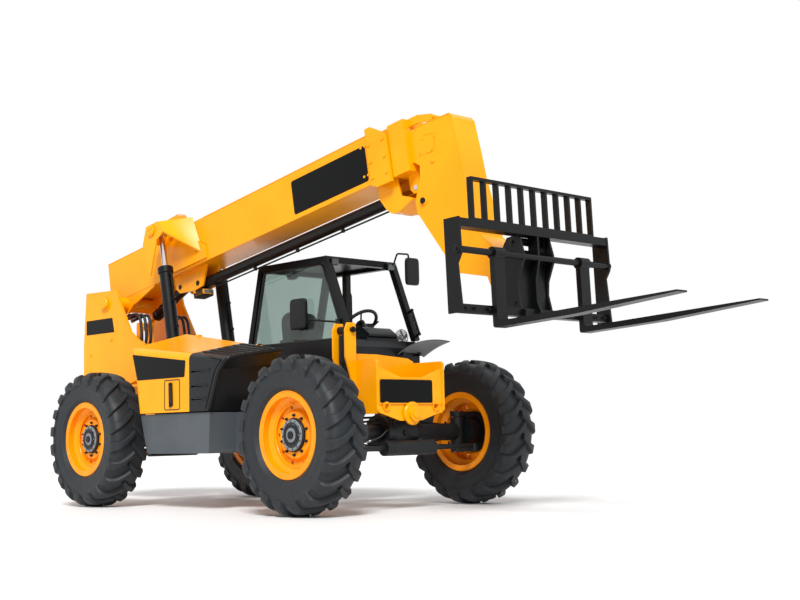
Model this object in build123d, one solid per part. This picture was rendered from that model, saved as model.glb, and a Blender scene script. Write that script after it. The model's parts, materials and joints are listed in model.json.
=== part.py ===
"""Telehandler with a three-section boom, pallet forks and four equal steered wheels.

Millimetres. +X forward to the forks, +Y left, +Z up. The pieces are drawn from the ground at the
middle of the wheelbase and then moved along X, so that the origin is under the middle of the
machine's whole length.
"""

import os
from math import atan2, cos, degrees, hypot, radians, sin, tan

from build123d import *

# Wheels and axles
WHEELBASE = 3000
AXLE_X = WHEELBASE / 2
WHEEL_Y = 975
TYRE_RADIUS = 630
TYRE_WIDTH = 360
LUGS = 20
LUG_HEIGHT = 34
LUG_WIDTH = 48
LUG_LENGTH = 192
LUG_DEPTH = 84
LUG_SLANT = 40
RIM_FLANGE_RADIUS = 340
RIM_SEAT_RADIUS = 305
RIM_WELL_RADIUS = 262
RIM_WIDTH = 286
RIM_SHEET = 10
DISC_INSET = 80
DISC_SHEET = 14
HAND_HOLES = 10
HUB_RADIUS = 132
HUB_REACH = 92
HUB_FLANGE = 22
KINGPIN_Y = 790
KINGPIN_RADIUS = 26
KNUCKLE_DRUM_RADIUS = 118
FIST_RADIUS = 58
FIST_HEIGHT = 250
EAR_THICKNESS = 42
BEAM_RADIUS = 74
DIFF_RADIUS = 150
DIFF_WIDTH = 330
PIN_PLAY = 0.5
FACE_GAP = 0.3

# Steering gear
STEER_ARM = 200
STEER_RAM_RADIUS = 62
STEER_RAM_LENGTH = 560
STEER_ROD_RADIUS = 22
TIE_ROD_RADIUS = 17
BALL_RADIUS = 30
BALL_HEIGHT = 40

# Chassis
RAIL_Y = 215
PLATE = 25
RAIL_BOTTOM = 800
RAIL_TOP = 1140
RAIL_REAR = -2640
FRONT_FRAME_X = 1746
FRONT_FRAME_REAR = 950
FRONT_FRAME_Y = 390
FRONT_FRAME_BOTTOM = 786
FRONT_FRAME_TOP = 1222
PANEL_DEPTH = 30
TOWER_Y = 400
TOWER_REAR = -2746
TRUNNION_RADIUS = 58
TRUNNION_Z = 780
TIE_HOLE_RADIUS = 28
TIE_FRONT_Y = 285
TIE_FRONT_Z = 845
TIE_REAR_X = -2570
TIE_REAR_Z = 1000
SWAY_X = 1420
SWAY_Y = -432
SWAY_TOP = 1475
SWAY_BOTTOM = 775
SWAY_LUG = 24

# Boom, in its own frame: s along it from the main pivot, n square to it
PIVOT_X = -2310
PIVOT_Z = 2014
PIVOT_PIN = 38
PIVOT_TUBE = 79
BOOM_ANGLE = 9.2
BOOM_WALL = 8
SECTION_PLAY = 12
OUTER_HALF = 170
OUTER_LOW = 75
OUTER_HIGH = 510
OUTER_REAR = -260
OUTER_FRONT = 3950
COLLAR_FRONT = 4132
SCOOP_HALF = 115
MID_REAR = 700
MID_FRONT = 4330
INNER_REAR = 800
INNER_FRONT = 4500
INNER_TOP = 385
SHEAVE_S = 4580
SHEAVE_N = 428
SHEAVE_RADIUS = 28
NOSE_PLATE = 12
PAD_LENGTH = 150

# Lift cylinders
LIFT_Y = 330
LIFT_FOOT_X = -1085
LIFT_FOOT_Z = 1000
LIFT_PIN_S = 1000
LIFT_PIN_N = 490
LIFT_BARREL = 65
LIFT_LENGTH = 1320
LIFT_ROD = 30
LIFT_PIN = 30
CHEEK_Y = 440
CHEEK_SHEET = 12
BRACKET_BACK = 165

# Extension cylinder under the boom
EXT_N = -65
EXT_PIN_S = 1180
EXT_BARREL = 52
EXT_ROD = 28
EXT_EYE_S = 4270

# Levelling cylinder between tower and boom
COMP_FOOT_X = -2200
COMP_FOOT_Z = 1780
COMP_PIN_S = 880
COMP_PIN_N = -30
COMP_BARREL = 46
COMP_LENGTH = 600
COMP_ROD = 24

# Nose, tilt cylinder and carriage
TILT_S = 5075
TILT_N = -1200
TILT_ANGLE = 2.2
TILT_PIN = 30
TILT_RAM_S = 4401
TILT_RAM_N = -230
TILT_LUG_X = 70
TILT_LUG_Z = 225
TILT_BARREL = 42
TILT_LENGTH = 640
TILT_ROD = 25

# Carriage, in its own frame: x forward and z up from the tilt pin
CARRIAGE_HALF = 870
COUPLER_X = 160
POST = 20
POST_REAR = 120
POST_FRONT = 265
POST_BOTTOM = -185
POST_TOP = 497
BEAM_HEIGHT = 62
SHAFT_X = 243
SHAFT_Z = 265
SHAFT_RADIUS = 25
BACKREST_HALF = 703
BACKREST_BARS = 11
BACKREST_HEIGHT = 310
BAR_WIDTH = 22
BAR_DEPTH = 45
FORK_THICKNESS = 45
FORK_WIDTH = 115
FORK_LENGTH = 1524
FORK_BOTTOM = -280
FORK_TOE_UP = 1.0
FORK_TIP = 12
FORK_HEEL = 24
FORK_RIGHT_Y = -455
FORK_LEFT_Y = 545

# Engine pod on the right
POD_OUTER = 1000
POD_INNER = 420
POD_BOTTOM = 849
POD_SHEET = 8
HOOD_REAR_X = -850
HOOD_REAR_TOP = 1600
HOOD_FRONT_X = 600
HOOD_FRONT_TOP = 1372
HOOD_HINGE_Y = -404
HOOD_HINGES = (-700, 230)
HOOD_LIP_X = 600
HOOD_SPLIT_X = 30
HOOD_ROUND = 60
SIDE_SLOTS = (1190, 1062, 950)
TOP_SLOTS = (-900, -840, -780, -720)
POD_REAR = -782
POD_FRONT = 304
HOOD_PIN = 14
SKIRT_INSET = 20
ENGINE_LENGTH = 840
ENGINE_WIDTH = 440
ENGINE_HEIGHT = 430

# Cab on the left
CAB_RIGHT = 215
CAB_LEFT = 1100
CAB_POST = 60
CAB_ROOF = 2255
CAB_ROOF_REAR = -550
CAB_ROOF_FRONT = 430
CAB_FLOOR = 1010
CAB_SILL_FRONT = 750
CAB_SILL_REAR = -740
CAB_SILL_Z = 1480
CAB_WALL = 30
DOOR_POST_X = -230
GRAB_TUBE = 12
SEAT_Y = 690
WHEEL_RIM = 170
TANK_INNER = 330
TANK_OUTER = 1000
TANK_BOTTOM = 560
STEP_X = -60
STEP_WIDTH = 420
MIRROR_ARM_Y = 1020
FAN_X = 640
FAN_Y = 975
FAN_Z = 1520


def plate(points, y, thickness):
    """Closed outline in (x, z), as thick as asked, with its middle at y."""
    face = make_face(Polyline(*[(x, z) for x, z in points], close=True))
    return Pos(0, y, 0) * (Rot(90, 0, 0) * extrude(face, amount=thickness / 2, both=True))


def across(points, x0, x1):
    """Closed outline in (y, z), standing across the machine between two x places."""
    face = make_face(Polyline(*[(y, z) for y, z in points], close=True))
    return Pos(x0, 0, 0) * (Rot(0, 0, 90) * (Rot(90, 0, 0) * extrude(face, amount=x1 - x0)))


def block(x0, x1, y0, y1, z0, z1):
    """Box between six limits, each pair in either order."""
    return Pos((x0 + x1) / 2, (y0 + y1) / 2, (z0 + z1) / 2) * Box(abs(x1 - x0), abs(y1 - y0), abs(z1 - z0))


def pin_y(x, z, radius, y0, y1):
    """Round bar along Y."""
    return Pos(x, (y0 + y1) / 2, z) * (Rot(90, 0, 0) * Cylinder(radius, abs(y1 - y0)))


def pin_x(y, z, radius, x0, x1):
    """Round bar along X."""
    return Pos((x0 + x1) / 2, y, z) * (Rot(0, 90, 0) * Cylinder(radius, abs(x1 - x0)))


def pin_z(x, y, radius, z0, z1):
    """Round bar along Z."""
    return Pos(x, y, (z0 + z1) / 2) * Cylinder(radius, abs(z1 - z0))


def tube_s(s0, s1, half, low, high):
    """Square-cut bar of the boom between two stations."""
    return block(s0, s1, -half, half, low, high)


def ring(s0, s1, half, low, high, thickness):
    """Rectangular frame round the boom, its wall inside the given size."""
    inside = tube_s(s0 - 1, s1 + 1, half - thickness, low + thickness, high - thickness)
    return tube_s(s0, s1, half, low, high) - inside


BOOM = Location((PIVOT_X, 0, PIVOT_Z), (0, -BOOM_ANGLE, 0))


def boom_point(s, n):
    """A boom station's place on the machine."""
    a = radians(BOOM_ANGLE)
    return PIVOT_X + s * cos(a) - n * sin(a), PIVOT_Z + s * sin(a) + n * cos(a)


TILT_X, TILT_Z = boom_point(TILT_S, TILT_N)
CARRIAGE = Location((TILT_X, 0, TILT_Z), (0, -TILT_ANGLE, 0))


def carriage_point(x, z):
    """A carriage place on the machine."""
    a = radians(TILT_ANGLE)
    return TILT_X + x * cos(a) - z * sin(a), TILT_Z + x * sin(a) + z * cos(a)


# The machine's middle: halfway between the towers' backs and the fork tips
SHANK_REAR = SHAFT_X - FORK_THICKNESS / 2
FORK_ROOT = SHANK_REAR + FORK_THICKNESS
BLADE_TOP = FORK_BOTTOM + FORK_THICKNESS
TIP_X = FORK_ROOT + FORK_LENGTH * cos(radians(FORK_TOE_UP))
TIP_Z = BLADE_TOP + FORK_LENGTH * sin(radians(FORK_TOE_UP))
FORK_TIP_X = carriage_point(TIP_X, TIP_Z - FORK_TIP)[0]
MIDDLE_X = (FORK_TIP_X + TOWER_REAR) / 2
TO_ORIGIN = Pos(-MIDDLE_X, 0, 0)


def cylinder_frame(x0, z0, x1, z1, y=0):
    """Place whose X axis runs from the first point to the second, in the plane at y."""
    return Location((x0, y, z0), (0, -degrees(atan2(z1 - z0, x1 - x0)), 0))


def barrel(radius, length, bore, eye_radius, eye_width, eye_bore):
    """Cylinder barrel along X, from its foot eye at the origin to its gland."""
    body = pin_x(0, 0, radius, eye_radius * 0.8, length)
    body += pin_x(0, 0, radius + 6, length - 60, length)
    body -= pin_x(0, 0, bore, eye_radius + 30, length + 1)
    eye = pin_y(0, 0, eye_radius, -eye_width / 2, eye_width / 2)
    body += eye
    if eye_bore:
        body -= pin_y(0, 0, eye_bore, -radius * 2, radius * 2)
    return body


def rod(radius, start, end, bore, eye_radius, eye_width):
    """Cylinder rod along X, from its piston inside the barrel to its plugged eye."""
    body = pin_x(0, 0, radius, start, end - eye_radius * 0.6)
    body += pin_x(0, 0, bore - PIN_PLAY, start, start + 60)
    body += pin_y(end, 0, eye_radius, -eye_width / 2, eye_width / 2)
    return body


def wheel_place(front, side):
    """Place with the wheel's axle along local Z, outboard positive."""
    return Location((AXLE_X * front, WHEEL_Y * side, TYRE_RADIUS), (-90 * side, 0, 0))


def tyre():
    """Tyre with its axle along Z, outboard side up, slanted lugs in two rows."""
    w = TYRE_WIDTH / 2
    seat = RIM_SEAT_RADIUS + FACE_GAP
    bead = RIM_WIDTH / 2 - RIM_SHEET - FACE_GAP
    crown = TYRE_RADIUS - LUG_HEIGHT
    half = [(seat, bead), (RIM_FLANGE_RADIUS + 2, bead), (400, w * 0.9), (480, w * 0.96), (558, w * 0.9)]
    outline = [(r, -z) for r, z in half] + [(crown, -w * 0.6), (crown, w * 0.6)] + half[::-1]
    body = revolve(make_face(Polyline(*[(r, 0, z) for r, z in outline], close=True)), Axis.Z)
    slant = radians(LUG_SLANT)
    spread = (LUG_LENGTH * sin(slant) + LUG_WIDTH * cos(slant)) / 2
    top = (TYRE_RADIUS**2 - spread**2) ** 0.5
    reach = (LUG_LENGTH * cos(slant) + LUG_WIDTH * sin(slant)) / 2
    lugs = []
    for row in (1, -1):
        lug = Pos(top - LUG_DEPTH / 2, 0, row * (w - reach)) * (
            Rot(row * LUG_SLANT, 0, 0) * Box(LUG_DEPTH, LUG_WIDTH, LUG_LENGTH)
        )
        for i in range(LUGS):
            lugs.append(Rot(0, 0, (i + 0.25 * row) * 360 / LUGS) * lug)
    return body + lugs


def rim():
    """Rim with its dished disc and hand holes, axle along Z."""
    h = RIM_WIDTH / 2
    t = RIM_SHEET
    outline = [
        (RIM_FLANGE_RADIUS, -h), (RIM_FLANGE_RADIUS, -h + t), (RIM_SEAT_RADIUS, -h + t),
        (RIM_SEAT_RADIUS, -h + 60), (RIM_WELL_RADIUS, -h + 90), (RIM_WELL_RADIUS, h - 90),
        (RIM_SEAT_RADIUS, h - 60), (RIM_SEAT_RADIUS, h - t), (RIM_FLANGE_RADIUS, h - t),
        (RIM_FLANGE_RADIUS, h), (RIM_SEAT_RADIUS - t, h), (RIM_SEAT_RADIUS - t, h - 55),
        (RIM_WELL_RADIUS - t, h - 85), (RIM_WELL_RADIUS - t, -h + 85),
        (RIM_SEAT_RADIUS - t, -h + 55), (RIM_SEAT_RADIUS - t, -h),
    ]
    body = revolve(make_face(Polyline(*[(r, 0, z) for r, z in outline], close=True)), Axis.Z)
    disc_top = h - DISC_INSET
    disc_outline = [
        (HUB_RADIUS + FACE_GAP, disc_top - DISC_SHEET), (HUB_RADIUS + FACE_GAP, disc_top),
        (180, disc_top), (206, disc_top - 34), (RIM_WELL_RADIUS - 4, disc_top - 20),
        (RIM_WELL_RADIUS - 4, disc_top - 34),
        (202, disc_top - 50), (176, disc_top - DISC_SHEET),
    ]
    body += revolve(make_face(Polyline(*[(r, 0, z) for r, z in disc_outline], close=True)), Axis.Z)
    holes = [Rot(0, 0, i * 360 / HAND_HOLES) * (Pos(226, 0, disc_top - 30) * Cylinder(15,
        60)) for i in range(HAND_HOLES)]
    return body - holes


def hub():
    """Planetary hub with its flange and cover, axle along Z."""
    disc_top = RIM_WIDTH / 2 - DISC_INSET
    flange_top = disc_top - DISC_SHEET - FACE_GAP
    low = flange_top - HUB_FLANGE
    body = Pos(0, 0, (low + HUB_REACH) / 2) * Cylinder(HUB_RADIUS, HUB_REACH - low)
    body = chamfer(body.edges().group_by(Axis.Z)[-1], 12)
    body += Pos(0, 0, flange_top - HUB_FLANGE / 2) * Cylinder(175, HUB_FLANGE)
    cover = Pos(0, 0, HUB_REACH + 5) * Cylinder(84, 12)
    return body + Pos(0, 0, HUB_REACH + 16) * Cylinder(30, 12) + cover


def knuckle(side):
    """Steering knuckle about its kingpin at the local origin, outboard towards +Y."""
    half = FIST_HEIGHT / 2
    reach = WHEEL_Y - KINGPIN_Y + RIM_WIDTH / 2 - DISC_INSET - DISC_SHEET - HUB_FLANGE - 2 * FACE_GAP
    inner = FIST_RADIUS + 12
    body = pin_y(0, 0, KNUCKLE_DRUM_RADIUS, inner, reach)
    for up in (1, -1):
        near = up * (half + 6)
        far = up * (half + 6 + EAR_THICKNESS)
        ear = pin_z(0, 0, FIST_RADIUS, near, far)
        ear += block(-FIST_RADIUS, FIST_RADIUS, 0, inner + 40, near, far)
        ear += block(-FIST_RADIUS, FIST_RADIUS, inner, inner + 40, 0, near)
        ear += pin_z(0, 0, KINGPIN_RADIUS, up * (half - 60), far)
        body += ear
    z0 = -(half + 6 + EAR_THICKNESS)
    arm = block(0, STEER_ARM, -30, 30, z0, z0 + 30)
    arm += pin_z(STEER_ARM, 0, BALL_RADIUS, z0, z0 + 30)
    body += arm
    return body


def axle(front):
    """Axle housing with its two fists, its trunnion and the steering cylinder's barrel."""
    body = pin_y(0, 0, BEAM_RADIUS, -KINGPIN_Y + FIST_RADIUS - 15, KINGPIN_Y - FIST_RADIUS + 15)
    body += pin_y(0, 0, DIFF_RADIUS, -DIFF_WIDTH / 2, DIFF_WIDTH / 2)
    body += pin_x(0, 0, 95, -250, 0)
    for side in (1, -1):
        fist = pin_z(0, side * KINGPIN_Y, FIST_RADIUS, -FIST_HEIGHT / 2, FIST_HEIGHT / 2)
        fist -= pin_z(0, side * KINGPIN_Y, KINGPIN_RADIUS + PIN_PLAY, -FIST_HEIGHT, FIST_HEIGHT)
        body += fist
    return body


pieces = {}


def keep(name, shape):
    """Stores a finished piece under its name."""
    pieces[name] = shape


def make_wheels():
    """Tyres, rims and hubs at the four corners."""
    tyre_shape, rim_shape, hub_shape = tyre(), rim(), hub()
    for name, front, side in (("fl", 1, 1), ("fr", 1, -1), ("rl", -1, 1), ("rr", -1, -1)):
        place = wheel_place(front, side)
        keep("tyre_" + name, place * tyre_shape)
        keep("rim_" + name, place * rim_shape)
        keep("hub_" + name, place * hub_shape)


def make_axles():
    """Axles, knuckles and steering gear, the rear set turned end for end."""
    for end, front in (("front", 1), ("rear", -1)):
        turn = Location((AXLE_X * front, 0, TYRE_RADIUS), (0, 0, 0 if front > 0 else 180))
        body = axle(front)
        arm_z = -(FIST_HEIGHT / 2 + 6 + EAR_THICKNESS)
        rod_z = arm_z + 30 + FACE_GAP + BALL_HEIGHT / 2
        ram = pin_y(STEER_ARM, rod_z, STEER_RAM_RADIUS, -STEER_RAM_LENGTH / 2, STEER_RAM_LENGTH / 2)
        ram -= pin_y(STEER_ARM, rod_z, STEER_ROD_RADIUS + PIN_PLAY, -STEER_RAM_LENGTH, STEER_RAM_LENGTH)
        saddle = block(60, STEER_ARM, -90, 90, rod_z - 40, rod_z + 60)
        saddle -= pin_y(STEER_ARM, rod_z, STEER_RAM_RADIUS - 5, -STEER_RAM_LENGTH, STEER_RAM_LENGTH)
        body += ram + saddle
        steer = pin_y(STEER_ARM, rod_z, STEER_ROD_RADIUS, -KINGPIN_Y + 60, KINGPIN_Y - 60)
        for side in (1, -1):
            steer += pin_z(STEER_ARM, side * KINGPIN_Y, BALL_RADIUS, rod_z - BALL_HEIGHT / 2,
                rod_z + BALL_HEIGHT / 2)
            steer += pin_y(STEER_ARM, rod_z, TIE_ROD_RADIUS, side * (KINGPIN_Y - 80),
                side * (KINGPIN_Y - 10))
        if front > 0:
            body += pin_x(0, TRUNNION_Z - TYRE_RADIUS, TRUNNION_RADIUS, -100,
                FRONT_FRAME_X - PANEL_DEPTH - AXLE_X)
            clevis = block(SWAY_X - AXLE_X - 40, 20, SWAY_Y - 45, SWAY_Y + 45, 0,
                SWAY_BOTTOM - TYRE_RADIUS - 48)
            for way in (1, -1):
                near = SWAY_X - AXLE_X + way * SWAY_LUG
                far = near + way * 16
                clevis += pin_x(SWAY_Y, SWAY_BOTTOM - TYRE_RADIUS, 40, near, far)
                clevis += block(
                    near, far, SWAY_Y - 40, SWAY_Y + 40, SWAY_BOTTOM - TYRE_RADIUS - 60,
                    SWAY_BOTTOM - TYRE_RADIUS,
                )
            body += clevis
        else:
            body += block(-130, 130, -RAIL_Y - PLATE, RAIL_Y + PLATE, 60, RAIL_BOTTOM - TYRE_RADIUS)
        keep("axle_" + end, turn * body)
        keep("steering_rod_" + end, turn * steer)
        for side, mark in ((1, "l"), (-1, "r")):
            place = Location((AXLE_X * front, side * KINGPIN_Y, TYRE_RADIUS), (0, 0, 0))
            shape = knuckle(side)
            if side < 0:
                shape = mirror(shape, Plane.XZ)
            if front < 0:
                shape = mirror(shape, Plane.YZ)
            keep("knuckle_" + end[0] + mark, place * shape)


def hood_hinge_z(x):
    """Height of the hood's hinge line, which follows its inner top edge."""
    slope = (HOOD_FRONT_TOP - HOOD_REAR_TOP) / (HOOD_FRONT_X - HOOD_REAR_X)
    return HOOD_REAR_TOP + slope * (x - HOOD_REAR_X) - 8


HOOD_HINGE = cylinder_frame(
    HOOD_HINGES[0], hood_hinge_z(HOOD_HINGES[0]), HOOD_HINGES[1], hood_hinge_z(HOOD_HINGES[1]),
    HOOD_HINGE_Y,
)


def hood_sleeve(x):
    """Sleeve of the hood round one hinge pin."""
    near = (x - HOOD_HINGES[0]) + 24
    sleeve = pin_x(0, 0, HOOD_PIN + 8, near, near + 34)
    return HOOD_HINGE * (sleeve - pin_x(0, 0, HOOD_PIN + PIN_PLAY, near - 5, near + 40))


def make_chassis():
    """The two rails with their crossmembers, cylinder feet, outriggers and hood hinges."""
    body = None
    for side in (1, -1):
        y = side * (RAIL_Y + PLATE / 2)
        rail = plate(
            [(RAIL_REAR, RAIL_BOTTOM + 60), (RAIL_REAR, RAIL_TOP), (1100, RAIL_TOP), (1100, RAIL_BOTTOM),
             (-2300, RAIL_BOTTOM)],
            y, PLATE,
        )
        body = rail if body is None else body + rail
        foot = plate(
            [(LIFT_FOOT_X - 110, RAIL_BOTTOM), (LIFT_FOOT_X - 70, LIFT_FOOT_Z + 60),
             (LIFT_FOOT_X + 70, LIFT_FOOT_Z + 60), (LIFT_FOOT_X + 110, RAIL_BOTTOM)],
            side * 415, 18,
        )
        foot += block(LIFT_FOOT_X - 110, LIFT_FOOT_X + 110, side * RAIL_Y, side * 424, RAIL_BOTTOM,
            RAIL_BOTTOM + 20)
        foot += pin_y(LIFT_FOOT_X, LIFT_FOOT_Z, LIFT_PIN, side * RAIL_Y, side * 424)
        body += foot
    body -= pin_y(TIE_REAR_X, TIE_REAR_Z, TIE_HOLE_RADIUS, -RAIL_Y - PLATE - 5, RAIL_Y + PLATE + 5)
    for x in (-2300, -700, 300):
        body += block(x, x + PLATE, -RAIL_Y - 5, RAIL_Y + 5, RAIL_BOTTOM + 40, RAIL_TOP - 20)
    for x in (-610, 560):
        body += block(x, x + 60, RAIL_Y + 5, CAB_LEFT - 120, RAIL_TOP - 200, CAB_FLOOR)
    for x in (-600, 180):
        body += block(x, x + 90, -RAIL_Y - 5, -POD_INNER - SKIRT_INSET, RAIL_BOTTOM, POD_BOTTOM - 12)
    for x in HOOD_HINGES:
        z = hood_hinge_z(x)
        post = [(-RAIL_Y, RAIL_TOP - 60), (-RAIL_Y, RAIL_TOP), (HOOD_HINGE_Y + 30, z + 8),
            (HOOD_HINGE_Y - 6, z + 8),
                (HOOD_HINGE_Y - 6, z - 40), (-RAIL_Y - 60, RAIL_TOP - 60)]
        body += across(post, x - 20, x)
        body += HOOD_HINGE * pin_x(0, 0, HOOD_PIN, x - 10 - HOOD_HINGES[0], x + 60 - HOOD_HINGES[0])
    body -= block(FRONT_FRAME_REAR, 2000, -RAIL_Y - PLATE - 1, RAIL_Y + PLATE + 1, 0, 2000)
    keep("chassis", body)


def make_front_frame():
    """Front frame: cheeks, panel over the axle's pivot, back wall and the cylinder's two ears."""
    body = None
    for side in (1, -1):
        cheek = plate(
            [(FRONT_FRAME_REAR, 830), (FRONT_FRAME_REAR, 1180), (1080, FRONT_FRAME_TOP),
             (FRONT_FRAME_X - 20, FRONT_FRAME_TOP), (FRONT_FRAME_X, FRONT_FRAME_TOP - 20),
             (FRONT_FRAME_X, FRONT_FRAME_BOTTOM + 30), (FRONT_FRAME_X - 30, FRONT_FRAME_BOTTOM),
             (1150, FRONT_FRAME_BOTTOM)],
            side * (FRONT_FRAME_Y - PLATE / 2), PLATE,
        )
        body = cheek if body is None else body + cheek
    body += block(FRONT_FRAME_REAR, FRONT_FRAME_REAR + PLATE, -FRONT_FRAME_Y + 5, FRONT_FRAME_Y - 5,
        RAIL_BOTTOM, 1160)
    panel_half = FRONT_FRAME_Y - PLATE
    panel_outline = [
        (-panel_half - 5, 800), (-120, 728), (120, 728), (panel_half + 5, 800),
        (panel_half + 5, 1165), (150, 1085), (-100, 1080), (-panel_half - 5, 1165),
    ]
    body += across(panel_outline, FRONT_FRAME_X - PANEL_DEPTH, FRONT_FRAME_X - 10)
    for y in (-TIE_FRONT_Y, TIE_FRONT_Y):
        body -= pin_x(y, TIE_FRONT_Z, TIE_HOLE_RADIUS, FRONT_FRAME_X - 100, FRONT_FRAME_X + 10)
    body += pin_x(0, TRUNNION_Z, TRUNNION_RADIUS, FRONT_FRAME_X - PANEL_DEPTH, FRONT_FRAME_X + 50)
    body += pin_x(0, TRUNNION_Z, TRUNNION_RADIUS - 26, FRONT_FRAME_X + 40, FRONT_FRAME_X + 60)
    wall = [
        (-panel_half - 5, 950), (panel_half + 5, 950), (panel_half + 5, 1235), (panel_half - 60, 1262),
        (-60, 1288), (-panel_half - 5, 1288),
    ]
    body += across(wall, 1380, 1400)
    for x in (SWAY_X - 75, SWAY_X + 75):
        ear_outline = [
            (-FRONT_FRAME_Y + 5, 900), (-FRONT_FRAME_Y + 5, 1500), (SWAY_Y + 40, SWAY_TOP + 58),
            (SWAY_Y - 40, SWAY_TOP + 58), (SWAY_Y - 66, SWAY_TOP), (SWAY_Y - 66, 1250),
        ]
        ear = across(ear_outline, x - 9, x + 9)
        ear -= pin_x(SWAY_Y, SWAY_TOP, 20 + PIN_PLAY, x - 30, x + 30)
        body += ear
    keep("front_frame", body)


def make_towers():
    """The two plates that carry the boom, with what ties them together."""
    towers = None
    for side in (1, -1):
        outline = [
            (TOWER_REAR + 46, 2154), (-2100, 2140), (-2063, 2024), (-1848, 1692), (-1730, 1614),
            (-1600, 1560),
            (-1600, 1240), (-1900, RAIL_TOP + 20), (TOWER_REAR + 100, RAIL_TOP + 20), (TOWER_REAR, 1300),
            (TOWER_REAR, 1618),
        ]
        side_plate = plate(outline, side * (TOWER_Y - PLATE / 2), PLATE)
        towers = side_plate if towers is None else towers + side_plate
        towers += pin_y(PIVOT_X, PIVOT_Z, PIVOT_TUBE, side * (TOWER_Y - PLATE), side * (TOWER_Y + 12))
    towers -= pin_y(PIVOT_X, PIVOT_Z, PIVOT_PIN + PIN_PLAY, -TOWER_Y - 50, TOWER_Y + 50)
    towers += block(-2560, -1700, -TOWER_Y + 5, TOWER_Y - 5, RAIL_TOP, RAIL_TOP + 25)
    towers += block(TOWER_REAR + 60, TOWER_REAR + 85, -TOWER_Y + 5, TOWER_Y - 5, RAIL_TOP, 1600)
    for side in (1, -1):
        lug = plate(
            [(COMP_FOOT_X - 60, RAIL_TOP + 20), (COMP_FOOT_X - 50, COMP_FOOT_Z + 45),
            (COMP_FOOT_X + 50, COMP_FOOT_Z + 45),
             (COMP_FOOT_X + 60, RAIL_TOP + 20)],
            side * 62, 20,
        )
        towers += lug
    keep("towers", towers)


def make_sway():
    """Frame-levelling cylinder between the ears and the front axle."""
    low, high = SWAY_BOTTOM, SWAY_TOP
    body = pin_z(SWAY_X, SWAY_Y, 38, low + 60, high - 230)
    body += pin_x(SWAY_Y, low, 30, SWAY_X - SWAY_LUG, SWAY_X + SWAY_LUG) + pin_z(SWAY_X, SWAY_Y, 22, low,
        low + 70)
    body += pin_z(SWAY_X, SWAY_Y, 22, high - 240, high)
    body += pin_x(SWAY_Y, high, 32, SWAY_X - 60, SWAY_X + 60)
    body += pin_x(SWAY_Y, high, 20, SWAY_X - 100, SWAY_X + 100)
    keep("sway_cylinder", body)


def hood_form(inset, floor):
    """The hood's outside, or its inside when inset by the sheet, with the long edges rounded."""

    def down(x, z, foot_x):
        """Carries a sloping end past the hood's bottom edge to the floor height."""
        return foot_x + (floor - POD_BOTTOM) * (x - foot_x) / (z - POD_BOTTOM), floor

    outer = [(POD_REAR - 124, 1446), (HOOD_LIP_X - 40, 1290), (HOOD_LIP_X - 150, 1190)]
    inner = [(HOOD_REAR_X, HOOD_REAR_TOP), (HOOD_FRONT_X, HOOD_FRONT_TOP), (HOOD_FRONT_X - 130, 1250)]
    faces = []
    for y, top in ((inset - POD_OUTER, outer), (inset - POD_INNER, inner)):
        outline = [down(*top[0], POD_REAR)] + top + [down(*top[-1], POD_FRONT)]
        face = make_face(Polyline(*outline, close=True))
        if inset:
            face = offset(face, amount=-inset, kind=Kind.INTERSECTION)
        faces.append(Pos(0, y, 0) * (Rot(90, 0, 0) * face))
    whole = loft(faces)
    side = whole.faces().sort_by(Axis.Y)[0]
    upper = [e for e in side.edges() if e.center().Z > POD_BOTTOM + 20 and e.center().X < 0]
    return fillet(upper, HOOD_ROUND - inset)


def hood_shell():
    """Hood sheet, open below and towards the boom."""
    whole = hood_form(0, POD_BOTTOM - 20) & block(-2000, 2000, -2000, 0, POD_BOTTOM, 2000)
    return whole - hood_form(POD_SHEET, POD_BOTTOM - 40)


def make_pod():
    """Engine pod: hood with its black slotted front, skirt and the engine block."""
    hood = hood_shell()
    front = block(HOOD_SPLIT_X, 900, -POD_OUTER - 50, 0, 0, 2000)
    keep("hood_panel", hood - front + hood_sleeve(HOOD_HINGES[0]))
    grille = (hood & front) + hood_sleeve(HOOD_HINGES[1])
    slots = []
    for z in SIDE_SLOTS:
        slots.append(block(60, 215, -POD_OUTER - 20, -POD_OUTER + 60, z - 7, z + 7))
    for y in TOP_SLOTS:
        slots.append(block(120, 260, y - 7, y + 7, 1330, 1600))
    keep("hood_grille", grille - slots)
    skirt_top = POD_BOTTOM - 12
    low = [(POD_REAR + 22, skirt_top), (POD_FRONT - 4, skirt_top), (286, 505), (270, 489), (-643, 489),
        (-659, 505)]
    skirt = plate(low, -(POD_OUTER + POD_INNER) / 2, POD_OUTER - POD_INNER - 2 * SKIRT_INSET)
    skirt += block(POD_FRONT - 30, 520, -700, -POD_INNER - SKIRT_INSET, 500, skirt_top)
    keep("skirt", skirt)
    engine = block(
        -620, ENGINE_LENGTH - 620, -POD_INNER - 60 - ENGINE_WIDTH, -POD_INNER - 60, skirt_top,
        skirt_top + ENGINE_HEIGHT,
    )
    keep("engine", engine)


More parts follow.
